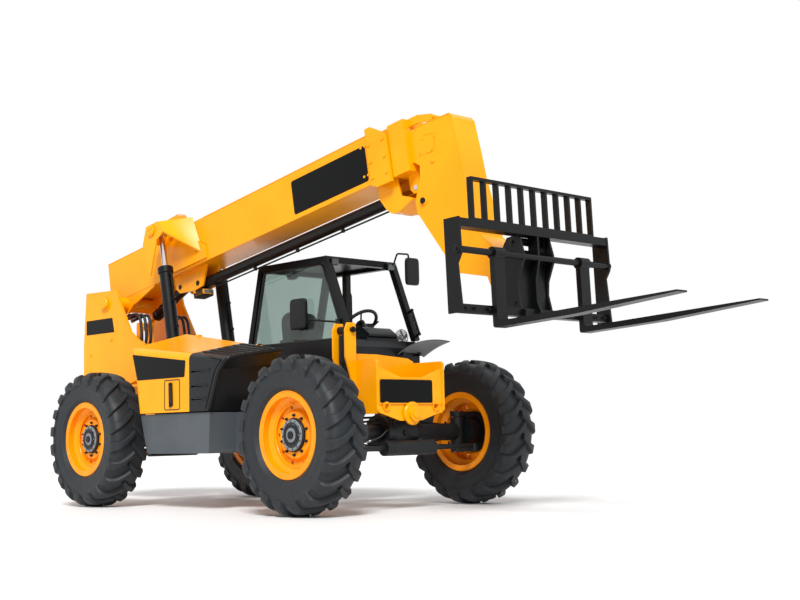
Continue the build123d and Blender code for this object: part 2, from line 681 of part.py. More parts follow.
def make_cab():
    """Open cab: roll-over frame, tub, window, seat, dash, steps and tank."""
    half = CAB_POST / 2
    roof_mid = CAB_ROOF - half

    def post(x0, z0, x1, z1, y):
        return cylinder_frame(x0, z0, x1, z1, y) * block(0, hypot(x1 - x0, z1 - z0), -half, half, -half,
            half)

    frame = block(CAB_ROOF_REAR, CAB_ROOF_FRONT + 20, CAB_RIGHT, CAB_LEFT, CAB_ROOF - 26, CAB_ROOF)
    for y in (CAB_RIGHT + half, CAB_LEFT - half):
        frame += post(CAB_SILL_FRONT - 20, CAB_SILL_Z, CAB_ROOF_FRONT, roof_mid, y)
        frame += post(CAB_SILL_REAR + 40, CAB_SILL_Z, CAB_ROOF_REAR + 30, roof_mid, y)
        frame += post(CAB_ROOF_REAR, roof_mid, CAB_ROOF_FRONT + 10, roof_mid, y)
    frame += post(DOOR_POST_X, CAB_SILL_Z, DOOR_POST_X, roof_mid, CAB_LEFT - half)
    for x in (CAB_ROOF_REAR + 30, CAB_ROOF_FRONT - 10):
        frame += block(x - half, x + half, CAB_RIGHT, CAB_LEFT, CAB_ROOF - CAB_POST, CAB_ROOF)
    frame -= block(-2000, 2000, 0, 2000, 0, CAB_SILL_Z)
    lean = cylinder_frame(CAB_SILL_FRONT - 20, CAB_SILL_Z, CAB_ROOF_FRONT, roof_mid, CAB_LEFT - half)
    for s in (40, 290):
        frame += lean * pin_z(s, 0, GRAB_TUBE, -half - 55, -half + 5)
    frame += lean * pin_x(0, -half - 55 + GRAB_TUBE, GRAB_TUBE, 28, 302)
    keep("cab_frame", frame)

    middle, width = (CAB_RIGHT + CAB_LEFT) / 2, CAB_LEFT - CAB_RIGHT
    profile = [
        (CAB_SILL_REAR, CAB_FLOOR + 60), (CAB_SILL_REAR, CAB_SILL_Z), (CAB_SILL_FRONT - 60, CAB_SILL_Z),
        (CAB_SILL_FRONT, CAB_SILL_Z - 70), (CAB_SILL_FRONT, CAB_FLOOR + 120),
        (CAB_SILL_FRONT - 110, CAB_FLOOR),
        (CAB_SILL_REAR + 60, CAB_FLOOR),
    ]
    tub = plate(profile, middle, width)
    hollow = offset(make_face(Polyline(*profile, close=True)), amount=-CAB_WALL)
    tub -= Pos(0, middle, 0) * (Rot(90, 0, 0) * extrude(hollow, amount=width / 2 - CAB_WALL, both=True))
    tub -= block(
        CAB_SILL_REAR + CAB_WALL, CAB_SILL_FRONT - 58, CAB_RIGHT + CAB_WALL, CAB_LEFT - CAB_WALL,
        CAB_SILL_Z - 60, CAB_SILL_Z + 10,
    )
    tub -= block(
        DOOR_POST_X + 60, CAB_SILL_FRONT - 130, CAB_LEFT - CAB_WALL - 5, CAB_LEFT + 10,
        CAB_FLOOR + CAB_WALL, CAB_SILL_Z + 10,
    )
    tub -= block(-2000, 2000, 0, RAIL_Y + PLATE + 40, 0, RAIL_TOP + 10)
    keep("cab_tub", tub)

    floor = CAB_FLOOR + CAB_WALL
    cushion = plate([(-470, 1290), (-40, 1290), (10, 1330), (10, 1385), (-40, 1400), (-470, 1375)], SEAT_Y,
        460)
    back = plate([(-500, 1330), (-400, 1350), (-440, 1780), (-470, 1830), (-540, 1820), (-560, 1770)],
        SEAT_Y, 440)
    base = plate([(-420, floor), (-120, floor), (-80, 1292), (-440, 1292)], SEAT_Y, 320)
    arm_rests = [pin_y(-300, 1530, 22, SEAT_Y + way * 232, SEAT_Y + way * 275) for way in (1, -1)]
    arm_rests += [block(-500, -150, SEAT_Y + way * 232, SEAT_Y + way * 275, 1510, 1550) for way in (1, -1)]
    arm_rests += [block(-500, -460, SEAT_Y + way * 215, SEAT_Y + way * 240, 1500, 1550) for way in (1, -1)]
    keep("seat", cushion + back + base + arm_rests)

    hump = [
        (500, floor), (500, 1500), (470, 1540), (480, 1580), (560, 1570), (680, 1500), (690, 1482),
        (690, floor + 140),
        (590, floor),
    ]
    place = cylinder_frame(520, 1500, 345, 1690, SEAT_Y)
    wheel = Rot(0, 90, 0) * Torus(WHEEL_RIM, 13)
    spokes = [Rot(a, 0, 0) * block(-8, 8, 0, WHEEL_RIM, -14, 14) for a in (90, 210, 330)]
    column = pin_x(0, 0, 26, 0, 205)
    keep("dash", plate(hump, SEAT_Y, 400) + place * (column + Pos(205, 0, 0) * (wheel + spokes)))

    glass = plate(
        [(CAB_SILL_FRONT - 90, CAB_SILL_Z), (CAB_ROOF_FRONT - 55, CAB_ROOF - 62),
         (CAB_ROOF_REAR + 65, CAB_ROOF - 62), (CAB_SILL_REAR + 85, CAB_SILL_Z)],
        CAB_RIGHT + 25, 6,
    )
    keep("cab_window", glass)

    tank = block(-700, DOOR_POST_X + 40, TANK_INNER, TANK_OUTER, TANK_BOTTOM, CAB_FLOOR - 70)
    tank = fillet(tank.edges().filter_by(Axis.X), 45)
    keep("tank", tank + pin_z(-300, TANK_OUTER - 70, 38, CAB_FLOOR - 80, CAB_FLOOR - 40))
    steps = None
    for x in (STEP_X, STEP_X + STEP_WIDTH):
        side = across([(880, CAB_FLOOR), (1060, CAB_FLOOR), (1090, 560), (1090, 530), (900, 530),
            (880, 700)], x - 6, x + 6)
        steps = side if steps is None else steps + side
    for z, y in ((540, 1090), (770, 1078)):
        steps += block(STEP_X - 5, STEP_X + STEP_WIDTH + 5, y - 190, y, z, z + 14)
    keep("steps", steps)


def make_fittings():
    """Mirrors, mudguard, fan and work lamp."""
    right = fillet(block(-40, 190, 181, 211, 1600, 1890).edges().filter_by(Axis.Y), 45)
    arm = cylinder_frame(180, 1665, 640, 1630, 205) * pin_x(0, 0, 9, -40, 480)
    clamp = block(590, 650, 196, CAB_RIGHT, 1600, 1660)
    keep("mirror_right", right + arm + clamp)

    left = fillet(block(690, 726, 980, 1148, 2010, 2270).edges().filter_by(Axis.X), 40)
    arms = [
        pin_x(MIRROR_ARM_Y, CAB_ROOF - 30, 9, CAB_ROOF_FRONT + 20, 500),
        cylinder_frame(495, CAB_ROOF - 32, 560, 2330, MIRROR_ARM_Y) * pin_x(0, 0, 9, 0, 125),
        cylinder_frame(553, 2325, 715, 2300, MIRROR_ARM_Y) * pin_x(0, 0, 9, -6, 160),
        pin_z(708, MIRROR_ARM_Y, 9, 2255, 2306),
    ]
    keep("mirror_left", left + arms)

    guard = loft([
        make_face(Polyline((750, 760, 1396), (750, 1100, 1396), (750, 1100, 1384), (750, 760, 1384),
        close=True)),
        make_face(Polyline((1010, 800, 1352), (1150, 1150, 1340), (1150, 1150, 1330), (1010, 800, 1342),
        close=True)),
    ])
    keep("mudguard", guard + block(CAB_SILL_FRONT, CAB_SILL_FRONT + 12, 760, 1100, 1330, 1396))

    guard_rings = Rot(0, 90, 0) * (Torus(72, 5) + Torus(44, 4))
    blades = [Rot(a, 0, 0) * block(-3, 3, -72, 72, -3, 3) for a in (0, 60, 120)]
    fan = Pos(FAN_X, FAN_Y, FAN_Z) * (guard_rings + blades + Rot(0, 90, 0) * Cylinder(26, 40))
    stem = pin_y(FAN_X, FAN_Z - 50, 8, SEAT_Y + 200, FAN_Y) + pin_z(FAN_X, FAN_Y, 8, FAN_Z - 56, FAN_Z - 10)
    keep("fan", fan + stem)


def make_boom():
    """Three boom sections, the nose on the innermost."""
    outer = ring(OUTER_REAR, OUTER_FRONT, OUTER_HALF, OUTER_LOW, OUTER_HIGH, BOOM_WALL)
    outer += tube_s(OUTER_REAR, OUTER_REAR + 12, OUTER_HALF, OUTER_LOW, OUTER_HIGH)
    pad = BOOM_WALL + SECTION_PLAY - FACE_GAP
    outer += ring(OUTER_FRONT - PAD_LENGTH, OUTER_FRONT, OUTER_HALF, OUTER_LOW, OUTER_HIGH, pad)
    for side in (1, -1):
        collar = plate(
            [(3890, 60), (3895, 552), (3960, 552), (COLLAR_FRONT, 440), (COLLAR_FRONT, 20), (3960, 20)],
            side * (OUTER_HALF + 14), 30,
        )
        outer += collar
        ear = plate(
            [(OUTER_REAR, 120), (OUTER_REAR, 60), (-95, -60), (-40, -100), (40, -100), (140, -40),
            (560, 60), (560, 120)],
            side * (OUTER_HALF - 10), 20,
        )
        outer += ear
        inner_lug = plate(
            [(700, 100), (640, 380), (760, 640), (1080, 650), (1200, 610), (1320, 350), (1500, 230),
            (1500, 100)],
            side * (OUTER_HALF + 10), 20,
        )
        cheek = plate(
            [(903, 58), (819, 388), (905, 556), (1106, 556), (1190, 430), (1060, 380)],
            side * (CHEEK_Y - 8), 16,
        )
        back = cylinder_frame(828, 405, 903, 552) * block(
            0, BRACKET_BACK, side * (OUTER_HALF + 5), side * (CHEEK_Y - 5), -CHEEK_SHEET, 0,
        )
        front = loft([
            make_face(Polyline((1090, side * (CHEEK_Y - 8), 560), (1190, side * (CHEEK_Y - 8), 430),
            (1175, side * (CHEEK_Y - 8), 425), (1078, side * (CHEEK_Y - 8), 552), close=True)),
            make_face(Polyline((1330, side * (OUTER_HALF + 5), 560), (1440, side * (OUTER_HALF + 5), 170),
            (1425, side * (OUTER_HALF + 5), 165), (1316, side * (OUTER_HALF + 5), 550), close=True)),
        ])
        outer += inner_lug + cheek + back + front
        pin = pin_y(LIFT_PIN_S, LIFT_PIN_N, 45, side * (CHEEK_Y - 30), side * (CHEEK_Y + 14))
        pin += pin_y(LIFT_PIN_S, LIFT_PIN_N, 45, side * OUTER_HALF, side * (OUTER_HALF + 50))
        outer += pin
        under = plate(
            [(800, OUTER_LOW + 3), (1360, OUTER_LOW + 3), (1250, -110), (1120, -125), (860, -90),
            (800, -30)],
            side * 72, 18,
        )
        under -= pin_y(COMP_PIN_S, COMP_PIN_N, 22 + PIN_PLAY, -200, 200)
        under -= pin_y(EXT_PIN_S, EXT_N, 24 + PIN_PLAY, -200, 200)
        outer += under
    tube = pin_y(0, 0, PIVOT_TUBE, -TOWER_Y + PLATE + FACE_GAP, TOWER_Y - PLATE - FACE_GAP)
    outer += tube
    outer += pin_y(0, 0, PIVOT_PIN, -TOWER_Y - 22, TOWER_Y + 22)
    scoop = plate(
        [(3880, 90), (3885, -60), (3945, -160), (4000, -213), (4084, -228), (4259, -170), (4262, -156),
         (4140, -100), (4125, 30), (4125, 90)],
        0, 2 * SCOOP_HALF,
    )
    scoop -= plate(
        [(3800, 200), (3800, -140), (3948, -140), (4006, -202), (4084, -216), (4300, -145), (4300, 200)],
        0, 2 * SCOOP_HALF - 24,
    )
    outer += scoop
    outer += block(1060, 1230, -60, 60, -182, -136) + block(1090, 1110, -80, 80, -150, -100)
    keep("boom_outer", BOOM * outer)

    play = BOOM_WALL + SECTION_PLAY
    half, low, high = OUTER_HALF - play, OUTER_LOW + play, OUTER_HIGH - play
    mid = ring(MID_REAR, MID_FRONT, half, low, high, BOOM_WALL)
    mid += ring(MID_REAR, MID_REAR + PAD_LENGTH, half + SECTION_PLAY - FACE_GAP,
        low - SECTION_PLAY + FACE_GAP, high + SECTION_PLAY - FACE_GAP, play - FACE_GAP)
    half2, low2, high2 = half - play, low + play, INNER_TOP
    mid += tube_s(MID_FRONT - PAD_LENGTH, MID_FRONT, half, low, high) - tube_s(
        MID_FRONT - PAD_LENGTH - 1, MID_FRONT + 1, half2 + FACE_GAP, low2 - FACE_GAP, high2 + FACE_GAP,
    )
    mid += tube_s(COLLAR_FRONT + 9, MID_FRONT, half + 24, low - 45, high + 6) - tube_s(4000, 4400,
        half - 1, low + 1, high - 1)
    arm = [(4230, 430), (4230, 498), (4440, 498), (4600, 452), (4612, 425), (4595, 402), (4560, 402),
        (4434, 430)]
    for side in (1, -1):
        mid += plate(arm, side * 106, 16)
        lug = plate([(4200, 60), (4322, 60), (4322, EXT_N), (4290, EXT_N - 45), (4240, EXT_N - 45),
            (4200, EXT_N)], side * 50, 20)
        lug -= pin_y(EXT_EYE_S, EXT_N, 20 + PIN_PLAY, -100, 100)
        mid += lug
    mid += pin_y(SHEAVE_S, SHEAVE_N, SHEAVE_RADIUS, -106, 106)
    keep("boom_mid", BOOM * mid)

    inner = ring(INNER_REAR, INNER_FRONT, half2, low2, high2, BOOM_WALL)
    reach = BOOM_WALL + FACE_GAP
    inner += tube_s(INNER_REAR, INNER_REAR + PAD_LENGTH, half - reach, low + reach, high - reach) - tube_s(
        INNER_REAR - 1, INNER_REAR + PAD_LENGTH + 1, half2 - BOOM_WALL, low2 + BOOM_WALL, high2 - BOOM_WALL,
    )
    outline = [
        (4345, 120), (4345, 330), (4449, 394), (4801, 380), (4830, 340), (4852, 83), (4867, -156),
        (4938, -671), (5064, -815),
        (5140, -1140), (5142, -1160), (5130, -1258), (5075, -1280), (5010, -1250), (4945, -1005),
        (4650, -897), (4537, -705),
        (4318, -309), (4312, -212), (4388, -46), (4410, 67),
    ]
    nose = plate(outline, 0, 2 * half2)
    gut = offset(make_face(Polyline(*outline, close=True)), amount=-NOSE_PLATE)
    gut = Rot(90, 0, 0) * extrude(gut, amount=half2 - NOSE_PLATE, both=True)
    nose -= gut
    open_front = plate([(4990, -835), (5300, -700), (5300, -1400), (4960, -1400), (4960, -1040),
        (5000, -1100)], 0, 2 * (half2 - NOSE_PLATE))
    nose -= open_front
    nose -= tube_s(4300, 4490, half2 - BOOM_WALL, low2 + BOOM_WALL, high2 - BOOM_WALL)
    for side in (1, -1):
        nose -= plate([(4449, 308), (4638, 277), (4591, 120), (4398, 132)], side * half2, 6)
    inner += nose
    inner -= pin_y(TILT_RAM_S, TILT_RAM_N, 26 + PIN_PLAY, -half2 - 100, half2 + 100)
    inner += pin_y(TILT_S, TILT_N, 62, -half2, half2)
    inner -= pin_y(TILT_S, TILT_N, TILT_PIN + PIN_PLAY, -half2 - 100, half2 + 100)
    keep("boom_nose", BOOM * inner)
    return half2


def make_rams(nose_half):
    """Every cylinder's barrel and rod at rest."""
    pin_x0, pin_z0 = boom_point(LIFT_PIN_S, LIFT_PIN_N)
    length = hypot(pin_x0 - LIFT_FOOT_X, pin_z0 - LIFT_FOOT_Z)
    barrels, rods = [], []
    for side in (1, -1):
        place = cylinder_frame(LIFT_FOOT_X, LIFT_FOOT_Z, pin_x0, pin_z0, side * LIFT_Y)
        barrels.append(place * barrel(LIFT_BARREL, LIFT_LENGTH, LIFT_ROD + 12, 70, 2 * LIFT_BARREL,
            LIFT_PIN + PIN_PLAY))
        rods.append(place * rod(LIFT_ROD, 330, length, LIFT_ROD + 12, 55, 90))
    keep("lift_barrels", Compound(children=barrels))
    keep("lift_rods", Compound(children=rods))

    ext = barrel(EXT_BARREL, OUTER_FRONT + 60 - EXT_PIN_S, EXT_ROD + 10, 50, 100, 0)
    ext += pin_y(0, 0, 24, -90, 90)
    keep("extension_barrel", BOOM * (Pos(EXT_PIN_S, 0, EXT_N) * ext))
    ext_rod = rod(EXT_ROD, 260, EXT_EYE_S - EXT_PIN_S, EXT_ROD + 10, 38, 76)
    ext_rod += pin_y(EXT_EYE_S - EXT_PIN_S, 0, 20, -66, 66)
    keep("extension_rod", BOOM * (Pos(EXT_PIN_S, 0, EXT_N) * ext_rod))

    comp_x, comp_z = boom_point(COMP_PIN_S, COMP_PIN_N)
    comp_length = hypot(comp_x - COMP_FOOT_X, comp_z - COMP_FOOT_Z)
    place = cylinder_frame(comp_x, comp_z, COMP_FOOT_X, COMP_FOOT_Z)
    comp = barrel(COMP_BARREL, COMP_LENGTH, COMP_ROD + 8, 46, 100, 0)
    comp += pin_y(0, 0, 22, -90, 90)
    keep("levelling_barrel", place * comp)
    keep("levelling_rod", place * rod(COMP_ROD, 150, comp_length, COMP_ROD + 8, 38, 80))

    ram_x, ram_z = boom_point(TILT_RAM_S, TILT_RAM_N)
    lug_x, lug_z = carriage_point(TILT_LUG_X, TILT_LUG_Z)
    tilt_length = hypot(lug_x - ram_x, lug_z - ram_z)
    place = cylinder_frame(ram_x, ram_z, lug_x, lug_z)
    tilt = barrel(TILT_BARREL, TILT_LENGTH, TILT_ROD + 8, 42, 84, 0)
    tilt += pin_y(0, 0, 26, -nose_half - 20, nose_half + 20)
    keep("tilt_barrel", place * tilt)
    keep("tilt_rod", place * rod(TILT_ROD, 180, tilt_length, TILT_ROD + 8, 36, 60))


def make_carriage(nose_half):
    """Coupler, carriage, load backrest and the two forks."""
    body = None
    lug_y = nose_half + 8
    for side in (1, -1):
        hanger = plate(
            [(-60, -35), (-60, 35), (20, 330), (90, 430), (200, 440), (200, 330), (174, 100), (174, -112),
            (60, -112), (-20, -68)],
            side * (lug_y + 10), 20,
        )
        hanger -= pin_y(0, 0, TILT_PIN - 2, -500, 500)
        body = hanger if body is None else body + hanger
        ram_lug = plate(
            [(TILT_LUG_X - 38, TILT_LUG_Z - 20), (TILT_LUG_X - 38, TILT_LUG_Z + 20),
            (TILT_LUG_X, TILT_LUG_Z + 42), (165, TILT_LUG_Z + 70),
             (165, TILT_LUG_Z - 70), (TILT_LUG_X, TILT_LUG_Z - 42)],
            side * 50, 20,
        )
        body += ram_lug
    body += pin_y(0, 0, TILT_PIN, -lug_y - 30, lug_y + 30)
    body += block(COUPLER_X, COUPLER_X + 20, -lug_y - 20, lug_y + 20, -120, 330)
    body += pin_y(150, 400, 30, -lug_y - 20, lug_y + 20)
    inside = CARRIAGE_HALF - POST
    posts = [(POST_REAR, POST_BOTTOM), (POST_REAR, POST_TOP), (POST_FRONT, POST_TOP),
        (POST_FRONT + 7, 229), (231, 165), (256, POST_BOTTOM)]
    for side in (1, -1):
        body += plate(posts, side * (CARRIAGE_HALF - POST / 2), POST)
        hook = plate(
            [(170, -185), (170, 428), (230, 428), (262, 300), (262, 240), (200, 100), (190, 0),
            (215, -120), (256, -140), (256, -185)],
            side * 172, 20,
        )
        body += hook
    centre = plate(
        [(170, -185), (170, 428), (262, 428), (262, 240), (225, 100), (225, -60), (256, -140),
        (256, -185)], 0, 20,
    )
    body += centre
    body += block(POST_FRONT - 100, POST_FRONT - 2, -inside - 5, inside + 5, POST_TOP - 7 - BEAM_HEIGHT,
        POST_TOP - 7)
    body += block(150, SHANK_REAR - FACE_GAP, -inside - 5, inside + 5, POST_BOTTOM + 5,
        POST_BOTTOM + 5 + 60)
    body += pin_y(SHAFT_X, SHAFT_Z, SHAFT_RADIUS, -CARRIAGE_HALF + 2, CARRIAGE_HALF - 2)
    keep("carriage", CARRIAGE * body)

    low, high = POST_TOP - 7 + FACE_GAP, POST_TOP + BACKREST_HEIGHT
    x0 = POST_FRONT - 10 - BAR_DEPTH
    rest = block(x0, x0 + BAR_DEPTH, -BACKREST_HALF, BACKREST_HALF, high - 24, high)
    pitch = (2 * BACKREST_HALF - BAR_WIDTH) / (BACKREST_BARS - 1)
    for i in range(BACKREST_BARS):
        y = -BACKREST_HALF + i * pitch
        rest += block(x0, x0 + BAR_DEPTH, y, y + BAR_WIDTH, low, high - 2)
    rest += block(x0, x0 + BAR_DEPTH, -BACKREST_HALF, BACKREST_HALF, low, low + 14)
    keep("backrest", CARRIAGE * rest)

    for name, y in (("fork_right", FORK_RIGHT_Y), ("fork_left", FORK_LEFT_Y)):
        toe = radians(FORK_TOE_UP)
        blade = [
            (FORK_ROOT, BLADE_TOP + FORK_HEEL), (FORK_ROOT + FORK_HEEL, BLADE_TOP + FORK_HEEL * tan(toe)),
            (TIP_X, TIP_Z), (TIP_X, TIP_Z - FORK_TIP),
            (FORK_ROOT + FORK_LENGTH * 0.45, BLADE_TOP - FORK_THICKNESS + FORK_LENGTH * 0.45 * sin(toe)),
            (SHANK_REAR + 12, FORK_BOTTOM), (SHANK_REAR, FORK_BOTTOM + 12),
            (SHANK_REAR, SHAFT_Z), (FORK_ROOT, SHAFT_Z),
        ]
        fork = plate(blade, 0, FORK_WIDTH)
        fork += pin_y(SHAFT_X, SHAFT_Z, 45, -FORK_WIDTH / 2, FORK_WIDTH / 2)
        fork -= pin_y(SHAFT_X, SHAFT_Z, SHAFT_RADIUS + PIN_PLAY, -FORK_WIDTH, FORK_WIDTH)
        keep(name, CARRIAGE * (Pos(0, y, 0) * fork))


def main():
    """Builds every piece and writes one file for each."""
    make_wheels()
    make_axles()
    make_chassis()
    make_front_frame()
    make_towers()
    make_sway()
    make_pod()
    make_cab()
    make_fittings()
    nose_half = make_boom()
    make_rams(nose_half)
    make_carriage(nose_half)
    os.makedirs("parts", exist_ok=True)
    for name, shape in pieces.items():
        export_step(TO_ORIGIN * shape, os.path.join("parts", name + ".step"))


main()
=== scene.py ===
# %% [markdown]
# # A telescopic handler, dressed over its frame
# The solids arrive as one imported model, each in its place. Every cell below adds one piece or
# one finish: it first says what the real thing is, and then works the surface out with numpy.

import json
import math

import bmesh
import bpy
import numpy as np
from mathutils import Matrix, Vector


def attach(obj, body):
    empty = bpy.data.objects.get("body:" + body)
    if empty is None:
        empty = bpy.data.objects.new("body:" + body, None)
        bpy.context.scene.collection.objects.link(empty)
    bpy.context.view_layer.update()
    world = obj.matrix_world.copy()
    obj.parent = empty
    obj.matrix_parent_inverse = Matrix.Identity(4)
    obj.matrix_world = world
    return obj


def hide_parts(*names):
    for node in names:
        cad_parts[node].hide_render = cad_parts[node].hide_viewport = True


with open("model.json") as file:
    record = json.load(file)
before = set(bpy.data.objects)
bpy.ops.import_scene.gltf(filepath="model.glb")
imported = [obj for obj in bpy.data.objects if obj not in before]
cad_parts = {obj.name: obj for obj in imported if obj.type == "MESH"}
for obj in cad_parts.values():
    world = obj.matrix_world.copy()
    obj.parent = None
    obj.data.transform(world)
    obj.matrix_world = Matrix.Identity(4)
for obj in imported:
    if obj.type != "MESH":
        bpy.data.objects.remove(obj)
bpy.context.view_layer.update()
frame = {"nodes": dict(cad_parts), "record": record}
nodes = frame["nodes"]
slot_of = {s["node"]: s["material_slot"] for s in frame["record"]["subparts"]}
print("solids", len(nodes))

# %% [markdown]
# ## The camera
# A machine of this size is photographed from a low place near its front right corner. The
# place, the turn and the lens come first, because every later choice is judged in this view.

# %% Camera
MIDDLE = 970.99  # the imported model's zero lies this far ahead of the machine's own, in mm
YAW, PITCH, ROLL = math.radians(45.874), math.radians(5.836), math.radians(-1.21)
FOCAL_PIXELS, FRAME_PIXELS = 1290.35, 800.0
SENSOR_WIDTH = 36.0
CAMERA_PLACE = (9.31 - MIDDLE / 1000, -7.445, 0.637)


def photo_camera():
    """Camera whose axes come from yaw, then pitch, then a small roll about the line of sight."""
    forward = Vector((-math.sin(YAW) * math.cos(PITCH), math.cos(YAW) * math.cos(PITCH), math.sin(PITCH)))
    right = Vector((math.cos(YAW), math.sin(YAW), 0))
    up = right.cross(forward)
    c, s = math.cos(ROLL), math.sin(ROLL)
    right, up = c * right + s * up, c * up - s * right
    data = bpy.data.cameras.new("camera")
    data.sensor_width = SENSOR_WIDTH
    data.lens = FOCAL_PIXELS * data.sensor_width / FRAME_PIXELS
    data.clip_end = 200.0
    camera = bpy.data.objects.new("camera", data)
    turn = Matrix((right, up, -forward)).transposed().to_4x4()
    camera.matrix_world = Matrix.Translation(CAMERA_PLACE) @ turn
    bpy.context.scene.collection.objects.link(camera)
    bpy.context.scene.camera = camera
    print("lens", round(data.lens, 1), "mm")


photo_camera()

# %% [markdown]
# ## Four ways to make a surface
# Nearly every piece of a machine is turned, bent from bar, cut from sheet or cast with round
# corners. Each way is one function of two parameters on a grid, or a profile along a path.
# Lengths are millimetres from the machine's own zero, and one function brings them to metres.

# %% Surfaces on a grid
def unit(v):
    """Each vector divided by its own length."""
    v = np.asarray(v, float)
    return v / np.linalg.norm(v, axis=-1, keepdims=True)


def quads(rows, columns, round_rows=False, round_columns=False):
    """Corner numbers of every four-sided face of a grid, which may close on itself either way."""
    i = np.arange(rows if round_rows else rows - 1)[:, None]
    j = np.arange(columns if round_columns else columns - 1)[None, :]
    below, beside = (i + 1) % rows, (j + 1) % columns
    corners = [i * columns + j, i * columns + beside, below * columns + beside, below * columns + j]
    return np.stack(np.broadcast_arrays(*corners), -1).reshape(-1, 4)


def square_to(axis):
    """Two directions square to an axis and to each other."""
    w = unit(axis)
    helper = np.eye(3)[np.argmin(np.abs(w))]
    u = unit(np.cross(helper, w))
    return u, np.cross(w, u)


def turned(profile, centre=(0, 0, 0), axis=(0, 1, 0), steps=48):
    """Lathe work: every profile point (along the axis, radius) goes round the axis in equal steps."""
    along, radius = np.asarray(profile, float).T
    u, v = square_to(axis)
    a = np.linspace(0, 2 * math.pi, steps, endpoint=False)[:, None]
    spokes = np.cos(a) * u + np.sin(a) * v
    p = np.asarray(centre) + along[None, :, None] * unit(axis) + radius[None, :, None] * spokes[:, None]
    return p.reshape(-1, 3), [quads(steps, len(along), True)]


def bar(path, radius, sides=12, flat=1.0, closed=False):
    """Bar or hose: a circle square to the path at every point, pressed flat by a factor, ends shut."""
    path = np.asarray(path, float)
    if not closed:
        path = np.vstack([path[:1], path, path[-1:]])
    d = np.roll(path, -1, 0) - np.roll(path, 1, 0) if closed else np.gradient(path, axis=0)
    if not closed:
        d[0], d[-1] = d[1], d[-2]
    normal = np.linalg.svd(path - path.mean(0))[2][-1]
    side = unit(np.cross(unit(d), normal))
    up = np.cross(side, unit(d))
    r = np.full(len(path), float(radius))
    if not closed:
        r[[0, -1]] = 0
    a = np.linspace(0, 2 * math.pi, sides, endpoint=False)[None, :, None]
    p = path[:, None] + r[:, None, None] * (np.cos(a) * side[:, None] + flat * np.sin(a) * up[:, None])
    return p.reshape(-1, 3), [quads(len(path), sides, closed, True)]


def bent(points, cut, steps=7):
    """Path whose corners are parabolas that leave and join the legs `cut` mm from the corner."""
    p = np.asarray(points, float)
    leave, join = unit(p[:-2] - p[1:-1]) * cut, unit(p[2:] - p[1:-1]) * cut
    t = np.linspace(0, 1, steps)[None, :, None]
    corner = p[1:-1][:, None]
    first, last = corner + leave[:, None], corner + join[:, None]
    arcs = (1 - t) ** 2 * first + 2 * t * (1 - t) * corner + t**2 * last
    return np.vstack([p[:1], arcs.reshape(-1, 3), p[-1:]])


def sawn(outline, low, high, across="y"):
    """Sheet or block: a flat outline carried from low to high along one axis, shut at both ends."""
    first, second, third = {"y": (0, 2, 1), "x": (1, 2, 0), "z": (0, 1, 2)}[across]
    outline = np.asarray(outline, float)
    k = len(outline)
    p = np.zeros((2, k, 3))
    p[..., first], p[..., second] = outline[:, 0], outline[:, 1]
    p[0, :, third], p[1, :, third] = low, high
    return p.reshape(-1, 3), [quads(2, k, False, True), np.arange(k)[None], np.arange(k)[None] + k]


def block(x0, x1, y0, y1, z0, z1):
    """Block between six limits."""
    return sawn([(x0, z0), (x1, z0), (x1, z1), (x0, z1)], y0, y1)


def rounded_outline(corners, radius, steps=5):
    """Outline whose corners are parabolas, for plates cut with round corners."""
    c = np.asarray(corners, float)
    before, after = unit(np.roll(c, 1, 0) - c) * radius, unit(np.roll(c, -1, 0) - c) * radius
    t = np.linspace(0, 1, steps)[None, :, None]
    arcs = (1 - t) ** 2 * (c + before)[:, None] + 2 * t * (1 - t) * c[:, None] + t**2 * (c + after)[:, None]
    return arcs.reshape(-1, 2)


def swollen(v, square):
    """A sine or cosine raised to a power under 1 with its sign kept, which swells a circle to a square."""
    return np.sign(v) * np.abs(v) ** square


def cushion(centre, half, square=0.35, rows=24, columns=48):
    """Superellipsoid: sines and cosines of two angles raised to a power under 1, so the ball fills a box."""
    a = np.linspace(-math.pi / 2, math.pi / 2, rows)[:, None]
    b = np.linspace(0, 2 * math.pi, columns, endpoint=False)[None, :]
    upright_cos, upright_sin = swollen(np.cos(a), square), swollen(np.sin(a), square)
    round_cos, round_sin = swollen(np.cos(b), square), swollen(np.sin(b), square)
    p = np.stack([upright_cos * round_cos, upright_cos * round_sin, upright_sin + 0 * b], -1) * half
    return (p + centre).reshape(-1, 3), [quads(rows, columns, False, True)]


def repeated(groups, count, size):
    """One shell's faces for many shells: each repeat's corner numbers go up by the shell's point count."""
    shift = np.arange(count)[:, None, None] * size
    return [(g[None] + shift).reshape(-1, g.shape[1]) for g in groups]


def copies(shell, places):
    """The same shell at many places, by adding each place to every point."""
    p, groups = shell
    places = np.asarray(places, float).reshape(-1, 3)
    return (places[:, None] + p[None]).reshape(-1, 3), repeated(groups, len(places), len(p))


def moved(shell, to):
    """The shell with its points passed through a function."""
    return to(shell[0]), shell[1]


def upright(line, y):
    """A line of (x, z) points as a path, or as places, in the upright plane at y."""
    line = np.asarray(line, float)
    return np.c_[line[:, 0], np.full(len(line), float(y)), line[:, 1]]


def circle(centre, axis, radius, count, start=0.0):
    """Places evenly round a circle."""
    u, v = square_to(axis)
    a = start + np.linspace(0, 2 * math.pi, count, endpoint=False)[:, None]
    return np.asarray(centre) + radius * (np.cos(a) * u + np.sin(a) * v)


def bolts(places, axis, size):
    """Hexagon bolts on washers, turned in sixteen steps for the washer and six for the chamfered head."""
    washer = size * np.array([(0, 0), (0, 1.15), (0.2, 1.15), (0.2, 0)])
    head = size * np.array([(0.2, 0), (0.2, 1), (0.8, 1), (0.95, 0.8), (0.95, 0)])
    shells = [turned(washer, axis=axis, steps=16), turned(head, axis=axis, steps=6)]
    return [copies(shell, places) for shell in shells]


